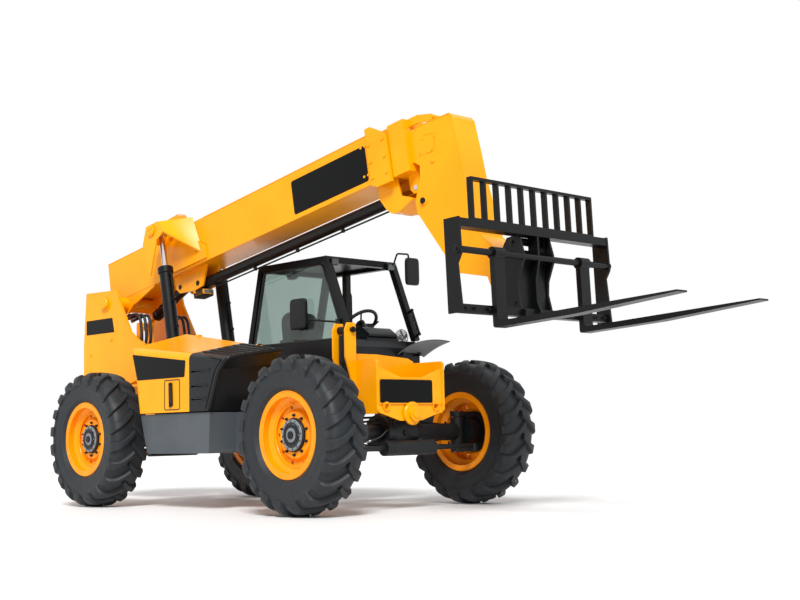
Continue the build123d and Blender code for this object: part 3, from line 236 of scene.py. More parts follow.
# %% [markdown]
# ## Frames of reference
# The boom leans 9.2 degrees and the carriage hangs from its nose, so their pieces are easier to
# write along their own axes. Two small functions carry such points on to the machine. The pins
# are named here once, and what is bolted to a pin takes its place from it.

# %% From the boom and the carriage to the machine
BOOM_LEAN, TILT_LEAN = math.radians(9.2), math.radians(2.2)
# Pins on the machine, by x and z
PIVOT, LIFT_FOOT, LEVEL_FOOT = (-2310.0, 2014.0), (-1085.0, 1000.0), (-2200.0, 1780.0)
# Pins on the boom, by how far along it and how far square to it they lie from its pivot
LIFT_EYE, LEVEL_EYE = (1000.0, 490.0), (880.0, -30.0)
TILT_FOOT, TILT_PIN = (4401.0, -230.0), (5075.0, -1200.0)
# Pin on the carriage, by how far forward and up it lies from the tilt pin
TILT_EYE = (70.0, 225.0)


def leaning(points, zero, lean):
    """Turns points in the upright plane by an angle, and sets their zero on a pin."""
    p = np.asarray(points, float)
    x = zero[0] + p[..., 0] * math.cos(lean) - p[..., 2] * math.sin(lean)
    z = zero[1] + p[..., 0] * math.sin(lean) + p[..., 2] * math.cos(lean)
    return np.stack([x, p[..., 1], z], -1)


def on_boom(points):
    """Points (along the boom, across, square to it) on the machine."""
    return leaning(points, PIVOT, BOOM_LEAN)


def pin_place(pin, carry):
    """(x, z) on the machine of a pin that on_boom or on_carriage carries there."""
    x, _, z = carry((pin[0], 0, pin[1]))
    return x, z


def on_carriage(points):
    """Points (forward, across, up) from the tilt pin on the machine."""
    return leaning(points, pin_place(TILT_PIN, on_boom), TILT_LEAN)


def along(start, end):
    """A function that lays a shell's X axis from one machine point to another in the upright plane."""
    lean = math.atan2(end[1] - start[1], end[0] - start[0])
    return lambda p: leaning(p, start, lean)


# %% [markdown]
# ## How a piece enters the scene
# A piece may have many shells, such as twelve bolts and a cap, but it is one mesh that rides on
# one body of the frame. Bevel rounds only its true edges, because light on a rounded edge is what
# tells the eye that a plate is thick. Where a piece takes the place of a solid, it says which.

# %% One mesh a piece
DOUBLES_APART, BEVELLED_FROM = 0.00002, 40.0  # metres, and degrees between two faces


def piece(name, shells, coat, body, replaces=(), bevel=0.0, sharp=35.0):
    """One mesh from several shells: doubles merge, faces turn outwards, edges under `sharp` shade smooth."""
    points = np.vstack([s[0] for s in shells])
    starts = np.cumsum([0] + [len(s[0]) for s in shells])
    faces = [f for start, s in zip(starts, shells) for g in s[1] for f in (g + start).tolist()]
    mesh = bpy.data.meshes.new(name)
    mesh.from_pydata(((points - (MIDDLE, 0, 0)) / 1000).tolist(), [], faces)
    work = bmesh.new()
    work.from_mesh(mesh)
    bmesh.ops.remove_doubles(work, verts=work.verts, dist=DOUBLES_APART)
    bmesh.ops.recalc_face_normals(work, faces=work.faces)
    work.to_mesh(mesh)
    work.free()
    mesh.shade_smooth()
    mesh.set_sharp_from_angle(angle=math.radians(sharp))
    mesh.materials.append(coat)
    o = bpy.data.objects.new(name, mesh)
    bpy.context.scene.collection.objects.link(o)
    if bevel:
        edges = o.modifiers.new("rounded edge", "BEVEL")
        edges.width, edges.segments, edges.harden_normals = bevel / 1000, 2, True
        edges.limit_method, edges.angle_limit = "ANGLE", math.radians(BEVELLED_FROM)
    if replaces:
        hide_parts(*replaces)
    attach(o, body)
    print(f"{name}: {len(mesh.polygons)} faces on {body}")
    return o


# %% [markdown]
# ## Finishes
# A finish starts from what the real surface is. All of them share one build: a base colour that
# drifts a little over patches of a real size, a roughness that drifts with it, and a bump whose
# grain is the grain of the process. Colours are written as sRGB hex and turned to linear once.

# %% Shader nodes
def node_of(tree, kind, links=(), **settings):
    """Adds one shader node, sets its sockets or properties, and links what feeds it."""
    n = tree.nodes.new(kind)
    for key, value in settings.items():
        if key in n.inputs:
            n.inputs[key].default_value = value
        else:
            setattr(n, key, value)
    for source, socket in links:
        tree.links.new(source, n.inputs[socket])
    return n


def linear(code):
    """sRGB hex to linear light."""
    v = np.array([int(code[i : i + 2], 16) for i in (0, 2, 4)]) / 255.0
    v = np.where(v <= 0.04045, v / 12.92, ((v + 0.055) / 1.055) ** 2.4)
    return (*v, 1.0)


# %% A finish
COLOUR_DRIFT, GLOSS_DRIFT = (0.32, 0.62), (0.3, 0.7)
BUMP_STRENGTH = 0.6


def finish(name, slot, code, drift_code, patch_mm, grain_mm, depth_mm, rough, rough_drift=0.06, **sockets):
    """Colour and roughness drift over patches, and a finer noise lifts the grain by a depth in mm."""
    material = bpy.data.materials.new(name)
    material.use_nodes = True
    tree = material.node_tree
    shader = tree.nodes["Principled BSDF"]
    for key, value in sockets.items():
        shader.inputs[key].default_value = value
    where = node_of(tree, "ShaderNodeTexCoord").outputs["Object"]
    patch = node_of(tree, "ShaderNodeTexNoise", [(where, "Vector")], Scale=1000 / patch_mm, Detail=4.0)
    colour = node_of(tree, "ShaderNodeValToRGB", [(patch.outputs["Fac"], "Fac")])
    low, high = colour.color_ramp.elements
    low.position, high.position = COLOUR_DRIFT
    low.color, high.color = linear(drift_code), linear(code)
    tree.links.new(colour.outputs["Color"], shader.inputs["Base Color"])
    gloss = node_of(tree, "ShaderNodeMapRange", [(patch.outputs["Fac"], "Value")])
    gloss.inputs["From Min"].default_value, gloss.inputs["From Max"].default_value = GLOSS_DRIFT
    gloss.inputs["To Min"].default_value, gloss.inputs["To Max"].default_value = rough + rough_drift, rough
    tree.links.new(gloss.outputs["Result"], shader.inputs["Roughness"])
    if depth_mm:
        grain = node_of(tree, "ShaderNodeTexNoise", [(where, "Vector")], Scale=1000 / grain_mm, Detail=3.0)
        bump = node_of(tree, "ShaderNodeBump", [(grain.outputs["Fac"], "Height")], Strength=BUMP_STRENGTH,
                       Distance=depth_mm / 1000)
        tree.links.new(bump.outputs["Normal"], shader.inputs["Normal"])
    print("finish", name, "for", slot)
    return material


# %% [markdown]
# The yellow is two-pack enamel sprayed on plate: glossy, with faint orange peel. Real peel is
# about 2 mm across, and 14 mm is drawn here so that it shows. Wheels get a warmer orange.
# The black on cylinders, carriage and forks is a satin enamel; castings are dark and sandy. Rods
# are ground and hard chromed, so they mirror; small fittings are zinc plated and duller.

# %% Painted metal
enamel = finish("yellow_enamel", "frame_paint", "FFA800", "FAA000", 420, 14, 0.05, 0.22, IOR=1.32)
wheel_enamel = finish("orange_wheel_enamel", "rim_paint", "FF9A00", "F59000", 160, 12, 0.05, 0.3, IOR=1.35)
black_enamel = finish("satin_black_enamel", "black_paint", "0B0C0E", "08090A", 200, 9, 0.06, 0.34, IOR=1.3)
casting = finish("painted_iron_casting", "cast_housing", "16191C", "111315", 90, 5, 0.5, 0.46, IOR=1.35)
zinc = finish("zinc_plated_steel", "cylinder_rod", "A9ABAE", "8E9094", 40, 3, 0.05, 0.34, Metallic=1.0)
chrome = finish("hard_chrome_plate", "cylinder_rod", "D6D8DB", "CBCDD1", 120, 4, 0.0, 0.09, 0.05,
                Metallic=1.0)

# %% [markdown]
# Rubber, vinyl and moulded plastic are all dark, and differ by grain: tyre rubber is dull and
# blue-grey with dust in it, seat vinyl has a leather print about 3 mm across, and the moulded
# parts have a fine spark-eroded grain of 1 mm, drawn at 4 mm.

# %% Rubber, vinyl and plastic
rubber = finish("tyre_rubber_compound", "tyre_rubber", "14181B", "101315", 60, 6, 0.5, 0.5, IOR=1.4)
hose_rubber = finish("braided_hose_rubber", "moulded_plastic", "0C0D0F", "090A0B", 30, 3, 0.3, 0.5)
plastic = finish("moulded_dark_plastic", "moulded_plastic", "0F1215", "0C0E11", 220, 4, 0.1, 0.3, IOR=1.33)
grey_plastic = finish("moulded_grey_plastic", "moulded_plastic", "7C8287", "72777C", 220, 4, 0.12, 0.5)
vinyl = finish("seat_vinyl_cover", "seat_vinyl", "101113", "0C0D0E", 70, 3, 0.5, 0.55)
film = finish("gloss_black_film", "black_paint", "040506", "030405", 300, 8, 0.0, 0.16, 0.03, IOR=1.22)
sheet_grey = finish("satin_grey_sheet", "black_paint", "4A5055", "3E4449", 500, 9, 0.05, 0.3, IOR=1.4)
hub_grey = finish("painted_hub_cover", "cast_housing", "7B8287", "70777C", 60, 5, 0.3, 0.4)

# %% [markdown]
# Cab glass is tinted green-grey and lets light through: the tint is the shader's own base colour,
# with nearly full transmission. Lamp lenses are drawn as a solid gloss, because no reflector is
# made behind them, and the mirrors are silvered.

# %% Glass
glass = finish("tinted_cab_glass", "cab_glass", "8FA39C", "8A9E97", 600, 8, 0.0, 0.02, 0.02, IOR=1.45,
               **{"Transmission Weight": 0.92})
lens = finish("clear_lamp_lens", "cab_glass", "5C6266", "50565A", 20, 4, 0.2, 0.08, IOR=1.45)
mirror = finish("silvered_mirror", "cab_glass", "DDE2E6", "D4D9DD", 300, 8, 0.0, 0.03, 0.01, Metallic=1.0)
amber = finish("amber_lamp_lens", "cab_glass", "E06A10", "C85A08", 20, 4, 0.2, 0.12, IOR=1.45)
red = finish("red_lamp_lens", "cab_glass", "A81410", "8E0E0C", 20, 4, 0.2, 0.12, IOR=1.45)

# %% [markdown]
# ## Solids that keep their own shape
# Plates, tubes and castings of the frame already have their true form, so they only take a
# finish: the one of the slot in their record, apart from a few that are made of something else.

# %% Paint on the solids
by_slot = {"frame_paint": enamel, "rim_paint": wheel_enamel, "tyre_rubber": rubber, "cast_housing": casting,
           "black_paint": black_enamel, "cylinder_rod": chrome, "moulded_plastic": plastic,
           "seat_vinyl": vinyl, "cab_glass": glass}
special = {"mudguard": grey_plastic, "skirt": sheet_grey,
           "steering_rod_front": casting, "steering_rod_rear": casting}
for name, o in nodes.items():
    o.data.materials.clear()
    o.data.materials.append(special.get(name, by_slot[slot_of[name]]))
print("solids painted", len(nodes))

# %% [markdown]
# ## Tyres
# A traction tyre is a casing with a round shoulder and two rows of heavy bars, which start side
# by side at the middle, sweep back and run over the shoulder. Cutting bars from a solid would
# be slow, so a bar is a grid: stations along the casing's profile, and eight points across.
# Each station's angle is worked out from how far the bar has swept there.

# %% Wheel places
WHEEL_Y, AXLE_Z = 975.0, 630.0
AXLE_X = {"f": 1500.0, "r": -1500.0}
HANDS = {"l": 1, "r": -1}
corners = {end + hand: (np.array([x, side * WHEEL_Y, AXLE_Z]), np.array([0, side, 0]))
           for end, x in AXLE_X.items() for hand, side in HANDS.items()}
print("wheels", list(corners))

# %% Casing and bars
CASING = np.array([(306, 0), (306, 133), (345, 134), (352, 147), (372, 158), (378, 165), (386, 163),
                   (410, 170), (455, 175), (500, 175), (506, 179), (518, 179), (524, 173), (548, 164),
                   (570, 150), (582, 130), (590, 105), (594, 70), (596, 35), (597, 0)], float)
WALL_POINT = 9  # the bars end at this point of the profile, on the side wall
BARS, STATIONS, ROUND_BAR = 20, 16, 8
BAR_HEIGHT, BAR_FOOT, BAR_TOP = 32.0, 62.0, 46.0
ROOT_DEPTH, ROOT_SPREAD, EDGE_ACROSS, EDGE_DOWN = 9.0, 6.0, 6.0, 5.0
PAST_MIDDLE, DOWN_WALL, WIDEST = 14.0, 8.0, 187.0
SWEEP, SWEEP_POWER = 0.95, 1.5


def bar_stations():
    """Stations at equal steps of the profile's own length: place along it, share of the way, radius,
    half width and outward normal, which is the profile's direction turned by a quarter. The first
    station lies past the middle of the tread, so its half width is below zero."""
    leg = CASING[:WALL_POINT:-1]
    run = np.r_[0, np.cumsum(np.linalg.norm(np.diff(leg, axis=0), axis=1))]
    s = np.linspace(-PAST_MIDDLE, run[-1] + DOWN_WALL, STATIONS)
    radius = np.interp(s, run, leg[:, 0])
    half_width = np.interp(s, run, leg[:, 1]) + np.minimum(s, 0)
    slope = unit(np.gradient(np.stack([radius, half_width], -1), axis=0))
    normal = np.stack([slope[:, 1], -slope[:, 0]], -1)
    return s, np.clip(s / run[-1], 0, 1), radius, half_width, normal


def bar_section(share):
    """Eight points round the bar at each station, as (across, height): the foot widens and the top
    falls towards the shoulder, both top edges are cut off, and the roots go into the casing."""
    height = BAR_HEIGHT * np.interp(share, [0, 0.6, 0.82, 1], [1, 1, 0.86, 0.6])
    foot = BAR_FOOT + np.interp(share, [0, 0.45, 0.75, 1], [0, 10, 38, 34])
    top = foot - (BAR_FOOT - BAR_TOP) * height / BAR_HEIGHT
    half = np.stack([foot / 2 + ROOT_SPREAD, foot / 2, top / 2, top / 2 - EDGE_ACROSS], -1)
    rise = np.stack([0 * height - ROOT_DEPTH, 0 * height + 1, height - EDGE_DOWN, height], -1)
    return np.hstack([-half, half[:, ::-1]]), np.hstack([rise, rise[:, ::-1]])


def tyre_shells():
    """Casing: its profile of (radius, half width) turned about the axle. Bars: each section lifted
    along the normal, at the angle swept so far, which grows by less and less of each step over the
    radius, and then set round both halves of the tyre, half a bar apart."""
    whole = np.vstack([CASING, CASING[-2:0:-1] * (1, -1), CASING[:1]])
    shells = [turned(whole[:, ::-1], steps=120)]
    s, share, radius, half_width, normal = bar_stations()
    across, height = bar_section(share)
    swept = np.cumsum(np.r_[0, np.diff(s)] * SWEEP * (1 - share**SWEEP_POWER) / radius)
    angle = swept[:, None] + across / radius[:, None]
    high = radius[:, None] + normal[:, :1] * height
    wide = np.minimum(half_width[:, None] + normal[:, 1:] * height, WIDEST)
    pitch = 2 * math.pi / BARS
    ends = np.arange(ROUND_BAR)[None]
    faces = [quads(STATIONS, ROUND_BAR, False, True), ends, ends + ROUND_BAR * (STATIONS - 1)]
    for row in (1, -1):
        a = pitch * np.arange(BARS)[:, None, None] + angle + row * pitch / 4
        p = np.stack([high * np.sin(a), np.broadcast_to(row * wide, a.shape), high * np.cos(a)], -1)
        shells.append((p.reshape(-1, 3), repeated(faces, BARS, STATIONS * ROUND_BAR)))
    return shells


# %% [markdown]
# A working tyre is never clean: dry soil dulls the whole of it. The finish mixes a dusty grey
# into the rubber's own drifting colour by a fixed share.

# %% Dusty tyres
DUST_SHARE = 0.3
tree = rubber.node_tree
shader = tree.nodes["Principled BSDF"]
clean = shader.inputs["Base Color"].links[0].from_socket
dust = node_of(tree, "ShaderNodeMix", [(clean, 6)], data_type="RGBA")
dust.inputs[0].default_value, dust.inputs[7].default_value = DUST_SHARE, linear("30353A")
tree.links.new(dust.outputs[2], shader.inputs["Base Color"])

tyre = tyre_shells()
for corner, (centre, out) in corners.items():
    placed = [moved(s, lambda p: p + centre) for s in tyre]
    piece(f"tyre_tread_{corner}", placed, rubber, f"wheel_{corner}", [f"tyre_{corner}"])

# %% [markdown]
# ## Wheels
# The solid rims carry the dish and hand holes. What they lack is the rolled bead round the
# flange, the ring of wheel nuts with their studs, and the cap screws of the hub reduction.
# Each is a profile of (outwards from the wheel's middle, radius), turned about the axle.

# %% Nuts, caps and rolled rims
NUT_FACE, NUT_CIRCLE, NUTS = 63, 154, 10
SCREW_FACE, SCREW_CIRCLE, SCREWS = 91, 110, 12
TAB_CIRCLE, TABS = 72, 5
NUT = [(0, 0), (0, 12), (12, 12), (15, 9), (15, 7), (24, 7), (24, 0)]
HUB_SEAL = [(92, 84), (99, 90), (99, 98), (92, 104), (92, 84)]
OIL_PLUG = [(113, 0), (113, 16), (108, 20), (108, 0)]
HUB_COVER = [(90, 0), (90, 122), (94, 122), (97, 119), (97, 86), (93, 84), (93, 60), (103, 56), (104, 0)]
HUB_TAB = [(96, 0), (96, 15), (100, 13), (100, 0)]
DISC_STEP = [(60, 262), (66, 258), (66, 236), (60, 232), (60, 262)]
VALVE = [(60, 245), (92, 245), (112, 262)]
BEAD_OUT, BEAD_RADIUS, BEAD_SIZE = 138, 338, 8


def rolled_bead(centre, out, edge):
    """Bead at one edge of the rim: a small circle of radius 8 mm, turned about the axle."""
    a = np.linspace(0, 2 * math.pi, 11)
    profile = np.c_[edge * BEAD_OUT + BEAD_SIZE * np.cos(a), BEAD_RADIUS + BEAD_SIZE * np.sin(a)]
    return turned(profile, centre, out, 96)


for corner, (centre, out) in corners.items():
    body = f"wheel_{corner}"
    nuts = copies(turned(NUT, axis=out, steps=6), circle(centre + NUT_FACE * out, out, NUT_CIRCLE, NUTS))
    screws = bolts(circle(centre + SCREW_FACE * out, out, SCREW_CIRCLE, SCREWS, 0.1), out, 8)
    seal, plug = turned(HUB_SEAL, centre, out, 64), turned(OIL_PLUG, centre, out, 6)
    piece(f"wheel_nuts_{corner}", [nuts, *screws, seal, plug], casting, body)
    tabs = copies(turned(HUB_TAB, axis=out, steps=20), circle(centre, out, TAB_CIRCLE, TABS, 0.3))
    piece(f"hub_cover_{corner}", [turned(HUB_COVER, centre, out, 64), tabs], hub_grey, body)
    beads = [rolled_bead(centre, out, edge) for edge in (1, -1)]
    valve = bar(bent([centre + (0, out[1] * y, z) for y, z in VALVE], 12), 5)
    piece(f"rim_bead_{corner}", [*beads, turned(DISC_STEP, centre, out, 72), valve], wheel_enamel, body)

# %% [markdown]
# ## Hood and blank panels
# The engine lies under a smooth enamel hood with a black moulded front. The side carries a black
# film panel with slanted ends, left blank here, and a latch set into a thin rubber seam.

# %% Hood
HOOD_SIDE, HOOD_DEPTH = -1000.0, 580.0
OUTER_EDGE, INNER_EDGE = ((-906, 1446), (560, 1290)), ((-850, 1600), (600, 1372))
FILM_PROUD, FILM_SUNK = 2.5, 2.0


def height_on(edge, x):
    """Height at x of the straight line through an edge's two ends."""
    (x0, z0), (x1, z1) = edge
    return z0 + (x - x0) * (z1 - z0) / (x1 - x0)


def hood_top(x, y):
    """Height of the hood: straight across from its outer edge to its inner edge."""
    outer, inner = height_on(OUTER_EDGE, x), height_on(INNER_EDGE, x)
    return outer + (inner - outer) * (y - HOOD_SIDE) / HOOD_DEPTH


wedge = rounded_outline([(-862, 1390), (-22, 1293), (-40, 1150), (-780, 1150)], 12)
piece("hood_blank_panel", [sawn(wedge, HOOD_SIDE - FILM_PROUD, HOOD_SIDE + FILM_SUNK)], film, "hood", bevel=1)
seam = rounded_outline([(-345, 1132), (-112, 1132), (-112, 872), (-345, 872)], 22)
latch = rounded_outline([(-268, 1110), (-222, 1110), (-212, 905), (-262, 890)], 14)
latch_bolts = bolts(upright([(-243, 1090), (-238, 920)], HOOD_SIDE - 13), (0, -1, 0), 9)
piece("hood_latch", [bar(upright(seam, HOOD_SIDE - 0.5), 4.5, 8, closed=True),
                     sawn(latch, HOOD_SIDE - 14, HOOD_SIDE - 2), *latch_bolts], plastic, "hood", bevel=2)

# %% [markdown]
# The moulding's front edge is a rounded lip that climbs the corner and follows the slope across,
# and low ribs run along its top. They are bars along paths that sit on the hood's own surface.

# %% Moulded front
lip = bent([(312, -992, 868), (452, -992, 1186), (556, -990, 1283), (598, -440, 1366)], 60)
inner_lip = bent(upright([(268, 868), (404, 1196), (504, 1276), (300, 1316)], HOOD_SIDE - 1), 50)
shells = [bar(lip, 21, 18), bar(inner_lip, 5, 10)]
rib_x = np.linspace(70, 520, 24)
for y in range(-880, -479, 80):
    shells.append(bar(np.c_[rib_x, np.full(24, y), hood_top(rib_x, y) + 1], 9, 10, 0.6))
SLAT_PITCH, SLAT_FALL = 14, 2
for z, x0, x1 in ((1210, 120, 330), (1082, 110, 300), (970, 96, 268)):
    for k in range(3):
        ends = [(x0, z - SLAT_PITCH * k), (x1, z - SLAT_FALL - SLAT_PITCH * k)]
        shells.append(bar(upright(ends, HOOD_SIDE - 1), 4, 8))
piece("hood_ribs", shells, plastic, "hood")

# %% [markdown]
# ## Blank plates on the boom, the front panel and the tower
# Each is a thin film with round corners, laid where the machine would carry a panel.

# %% Blank plates
boom_outline = rounded_outline([(2848, 432), (3846, 432), (3846, 118), (2848, 118)], 26)
front_outline = rounded_outline([(-352, 1062), (244, 1062), (244, 872), (-352, 872)], 20)
tower_outline = rounded_outline([(-2692, 1862), (-2190, 1862), (-2150, 1712), (-2692, 1712)], 12)
boom_plate = moved(sawn(boom_outline, -172.5, -169), on_boom)
piece("boom_blank_plate", [boom_plate], film, "boom_outer", bevel=1)
piece("front_blank_plate", [sawn(front_outline, 1745, 1748.5, "x")], film, "root", bevel=1)
piece("tower_blank_plate", [sawn(tower_outline, -402.5, -399)], film, "root", bevel=1)

# %% [markdown]
# ## Boom
# A telescopic boom is welded from plate, so what dresses it is what is bolted on: wear-pad
# screws in rows near each section's front, a turned cap with screws on each pin, and weld beads
# where the bracket meets the side.

# %% Boom fittings
SIDE, COLLAR, BRACKET = 170.0, 29.0, 20.0
PAD_SCREWS = [(s, n) for s in (3800, 3850) for n in (165, 420)]
COLLAR_SCREWS = [(s, n) for s in (3925, 4095) for n in (110, 250, 400)]
BRACKET_SCREWS = [(760, 150), (860, 150), (1340, 190)]


def pin_cap(place, out, rim):
    """Cap on a pin's end: a rim of (outwards, radius) points, closed to the pin's middle and turned."""
    return turned([(0, 0), *rim, (rim[-1][0], 0)], place, out)


shells = []
for side in (-1, 1):
    out = (0, side, 0)
    shells += bolts(upright(PAD_SCREWS, side * SIDE), out, 12)
    shells += bolts(upright(COLLAR_SCREWS, side * (SIDE + COLLAR)), out, 13)
    shells += bolts(upright(BRACKET_SCREWS, side * (SIDE + BRACKET)), out, 13)
    shells.append(pin_cap((0, side * 422, 0), out, [(0, 52), (8, 56), (16, 52)]))
    shells.append(pin_cap((LIFT_EYE[0], side * 448, LIFT_EYE[1]), out, [(0, 50), (8, 56), (14, 50)]))
    shells += bolts(circle((LIFT_EYE[0], side * 462, LIFT_EYE[1]), out, 30, 3), out, 9)
piece("boom_pins_and_bolts", [moved(s, on_boom) for s in shells], enamel, "boom_outer")

BRACKET_EDGE = [(690, 100), (630, 380), (752, 648), (1084, 660), (1208, 616), (1330, 356), (1506, 236)]
SEAM_RUNS = [[(s0, n), (s1, n)] for n in (78, 507) for s0, s1 in ((-250, 690), (1500, 3880))]
beads = [bar(upright(BRACKET_EDGE, side * (SIDE + 1.5)), 6, 8) for side in (-1, 1)]
seams = [bar(upright(run, side * (SIDE - 0.5)), 5, 8) for side in (-1, 1) for run in SEAM_RUNS]
piece("boom_welds", [moved(s, on_boom) for s in beads + seams], enamel, "boom_outer")

# %% [markdown]
# The extension cylinder hangs under the boom. A thin steel pipe follows its barrel, held by
# saddle clamps, and a gland nut with pin-spanner holes closes the barrel's front.

# %% Extension cylinder
ALONG_X = (1, 0, 0)


def gland(length, radius, rod_radius):
    """Gland of a cylinder along X: a nut with flats, a wiper lip and a chamfered seat."""
    nut = turned([(length - 64, radius + 5), (length - 60, radius + 11), (length - 8, radius + 11),
                  (length - 2, radius + 6), (length + 3, radius), (length + 3, rod_radius + 3),
                  (length - 10, rod_radius + 2)], axis=ALONG_X)
    lip = turned([(length, rod_radius + 1), (length + 9, rod_radius + 3), (length + 9, rod_radius + 8),
                  (length + 2, rod_radius + 12)], axis=ALONG_X)
    hole = turned([(0, 0), (0, 5), (5, 5), (5, 0)], axis=ALONG_X, steps=12)
    return [nut, lip, copies(hole, circle((length + 1, 0, 0), ALONG_X, radius - 4, 6))]


def ports(x0, x1, radius, drop):
    """Two port blocks on a barrel and the pipe between them: out, along and back, with round corners."""
    low = -radius - drop
    pipe = bent([(x0, 0, -radius), (x0, 0, low), (x1, 0, low), (x1, 0, -radius)], 16)
    blocks = [block(x - 20, x + 20, -16, 16, -radius - 14, -radius + 12) for x in (x0, x1)]
    clips = [block(x - 12, x + 12, -14, 14, low - 9, -radius + 4) for x in np.linspace(x0, x1, 5)[1:-1]]
    return [bar(pipe, 8), *blocks, *clips]


EXTENSION_FOOT = np.array([1180.0, 0, -65.0])
extension = gland(2830, 52, 28) + ports(180, 2720, 52, 26)
piece("extension_gland_and_pipe", [moved(s, lambda p: on_boom(p + EXTENSION_FOOT)) for s in extension],
      black_enamel, "boom_outer", bevel=1.5)

# %% [markdown]
# The lift, levelling and tilt cylinders get the same fittings, each along the line between its
# own two pins.

# %% Other cylinders
LIFT_Y, FOOT_HALF, FOOT_RADIUS = 330.0, 74, 38
lift = along(LIFT_FOOT, pin_place(LIFT_EYE, on_boom))
fittings = gland(1320, 65, 30) + ports(150, 1240, 65, 24)
pin = [(-FOOT_HALF, 0), (-FOOT_HALF, FOOT_RADIUS), (FOOT_HALF, FOOT_RADIUS), (FOOT_HALF, 0)]
shells = []
for y in (-LIFT_Y, LIFT_Y):
    shells += [moved(s, lambda p: lift(p) + (0, y, 0)) for s in fittings]
    shells.append(turned(pin, (LIFT_FOOT[0], y, LIFT_FOOT[1])))
    shells += bolts(upright([LIFT_FOOT], y - FOOT_HALF), (0, -1, 0), 12)
piece("lift_glands_and_pipes", shells, black_enamel, "lift_barrels", bevel=1.5)
level = along(pin_place(LEVEL_EYE, on_boom), LEVEL_FOOT)
fittings = gland(600, 46, 24) + ports(110, 520, 46, 18)
piece("levelling_gland", [moved(s, level) for s in fittings], black_enamel, "levelling_barrel", bevel=1.5)
tilt = along(pin_place(TILT_FOOT, on_boom), pin_place(TILT_EYE, on_carriage))
piece("tilt_gland", [moved(s, tilt) for s in gland(640, 42, 25)], black_enamel, "tilt_barrel", bevel=1.5)

# %% [markdown]
# ## Boom nose and carriage
# The nose carries the tilt pin in a boss, with a round cap and bolts on each cheek, and a small
# inspection cover. Its plates meet in weld beads.

# %% Nose caps and welds
NOSE_SIDE = 130.0
NOSE_PINS = [(*TILT_FOOT, 40), (4560, 60, 22), (*TILT_PIN, 72)]
COVER = rounded_outline([(4466, 292), (4622, 266), (4580, 136), (4418, 146)], 14)
COVER_SCREWS = [(4480, 274), (4604, 254), (4566, 152), (4436, 162)]
shells = []
for side in (-1, 1):
    out = (0, side, 0)
    for s, n, radius in NOSE_PINS:
        rim = [(0, radius), (7, radius - 2), (11, radius - 8)]
        shells.append(pin_cap((s, side * NOSE_SIDE, n), out, rim))
        screws = circle((s, side * (NOSE_SIDE + 8), n), out, 0.6 * radius, 3, 0.4)
        shells += bolts(screws, out, 0.14 * radius + 3)
    shells.append(sawn(COVER, side * (NOSE_SIDE - 3), side * (NOSE_SIDE + 2)))
    shells += bolts(upright(COVER_SCREWS, side * (NOSE_SIDE + 2)), out, 7)
piece("nose_caps", [moved(s, on_boom) for s in shells], enamel, "boom_nose", bevel=1)

NOSE_FRONT = [(4345, 330), (4449, 392), (4801, 378), (4830, 340), (4852, 83), (4867, -156), (4938, -671),
              (5064, -815)]
NOSE_BACK = [(4945, -1005), (4650, -897), (4537, -705), (4318, -309), (4312, -212), (4388, -46)]
beads = [bar(upright(edge, side * (NOSE_SIDE - 1)), 5, 8)
         for edge in (NOSE_FRONT, NOSE_BACK) for side in (-1, 1)]
piece("nose_welds", [moved(s, on_boom) for s in beads], enamel, "boom_nose")

# %% [markdown]
# On the carriage, turned caps with one screw each close the pins in the hangers and the fork
# shaft, and two rows of bolts hold the side plates.

# %% Carriage fittings
HANGER_SIDE, FRAME_SIDE, PLATE_FACE = 172, 872, 232
CARRIAGE_PINS = ((0, 0, 40, HANGER_SIDE), (160, 385, 30, HANGER_SIDE), (160, -70, 24, HANGER_SIDE),
                 (243, 265, 33, FRAME_SIDE))
shells = []
for side in (-1, 1):
    out = (0, side, 0)
    for x, z, radius, y in CARRIAGE_PINS:
        shells.append(pin_cap((x, side * y, z), out, [(0, radius), (8, radius - 2), (12, radius - 8)]))
        shells += bolts([(x, side * (y + 12), z)], out, 0.4 * radius)
    plate_bolts = [(PLATE_FACE, side * y, z) for y in (560, 700, 800) for z in (455, -150)]
    shells += bolts(plate_bolts, ALONG_X, 11)
piece("carriage_pins", [moved(s, on_carriage) for s in shells], black_enamel, "carriage")

# %% [markdown]
# ## Cab
# The cab is a roll-over frame round a moulded tub. The pane on the boom's side sits in a rubber
# section, so its edge reads as a thick soft line. The roof carries ribs and screws.

# %% Pane seal and roof
PANE_Y, ROOF_TOP = 240.0, 2254
pane = rounded_outline([(660, 1486), (375, 2188), (-485, 2188), (-655, 1486)], 46, 8)
piece("pane_seal", [bar(upright(pane, PANE_Y), 13, 8, closed=True)], hose_rubber, "root")
ribs = [bar([(-500, y, ROOF_TOP + 3), (380, y, ROOF_TOP + 3)], 9, 8, 0.5) for y in (330, 500, 670, 840, 1000)]
screws = [(x, y, ROOF_TOP) for x in (-520, -60, 410) for y in (245, 1070)]
piece("roof_ribs", ribs + bolts(screws, (0, 0, 1), 9), black_enamel, "root")

# %% [markdown]
# Two work lamps look forward from the roof and one looks back, each dipped a little. A lamp is
# made once along its own axes and turned to look its way.

# %% Work lamps
FORWARD_DIP, BACK_DIP = (1, 0, -0.15), (-1, 0, -0.2)
LAMPS = [((452, 300, 2206), FORWARD_DIP), ((452, 1010, 2206), FORWARD_DIP), ((-572, 655, 2200), BACK_DIP)]


def work_lamp(centre, way):
    """Housing and lens of a square lamp. Its axes are the way it looks, that way's cross product with
    the upright, and the cross product of those two."""
    ahead = unit(way)
    sideways = unit(np.cross((0, 0, 1), ahead))
    axes = np.stack([ahead, sideways, np.cross(ahead, sideways)])
    house = cushion((0, 0, 0), (34, 46, 34), 0.3, 16, 32)
    fins = [block(-52, -20, y - 2.5, y + 2.5, -28, 28) for y in np.linspace(-36, 36, 7)]
    placed = [moved(s, lambda p: p @ axes + centre) for s in [house, *fins, block(28, 36, -38, 38, -26, 26)]]
    return placed[:-1], placed[-1]


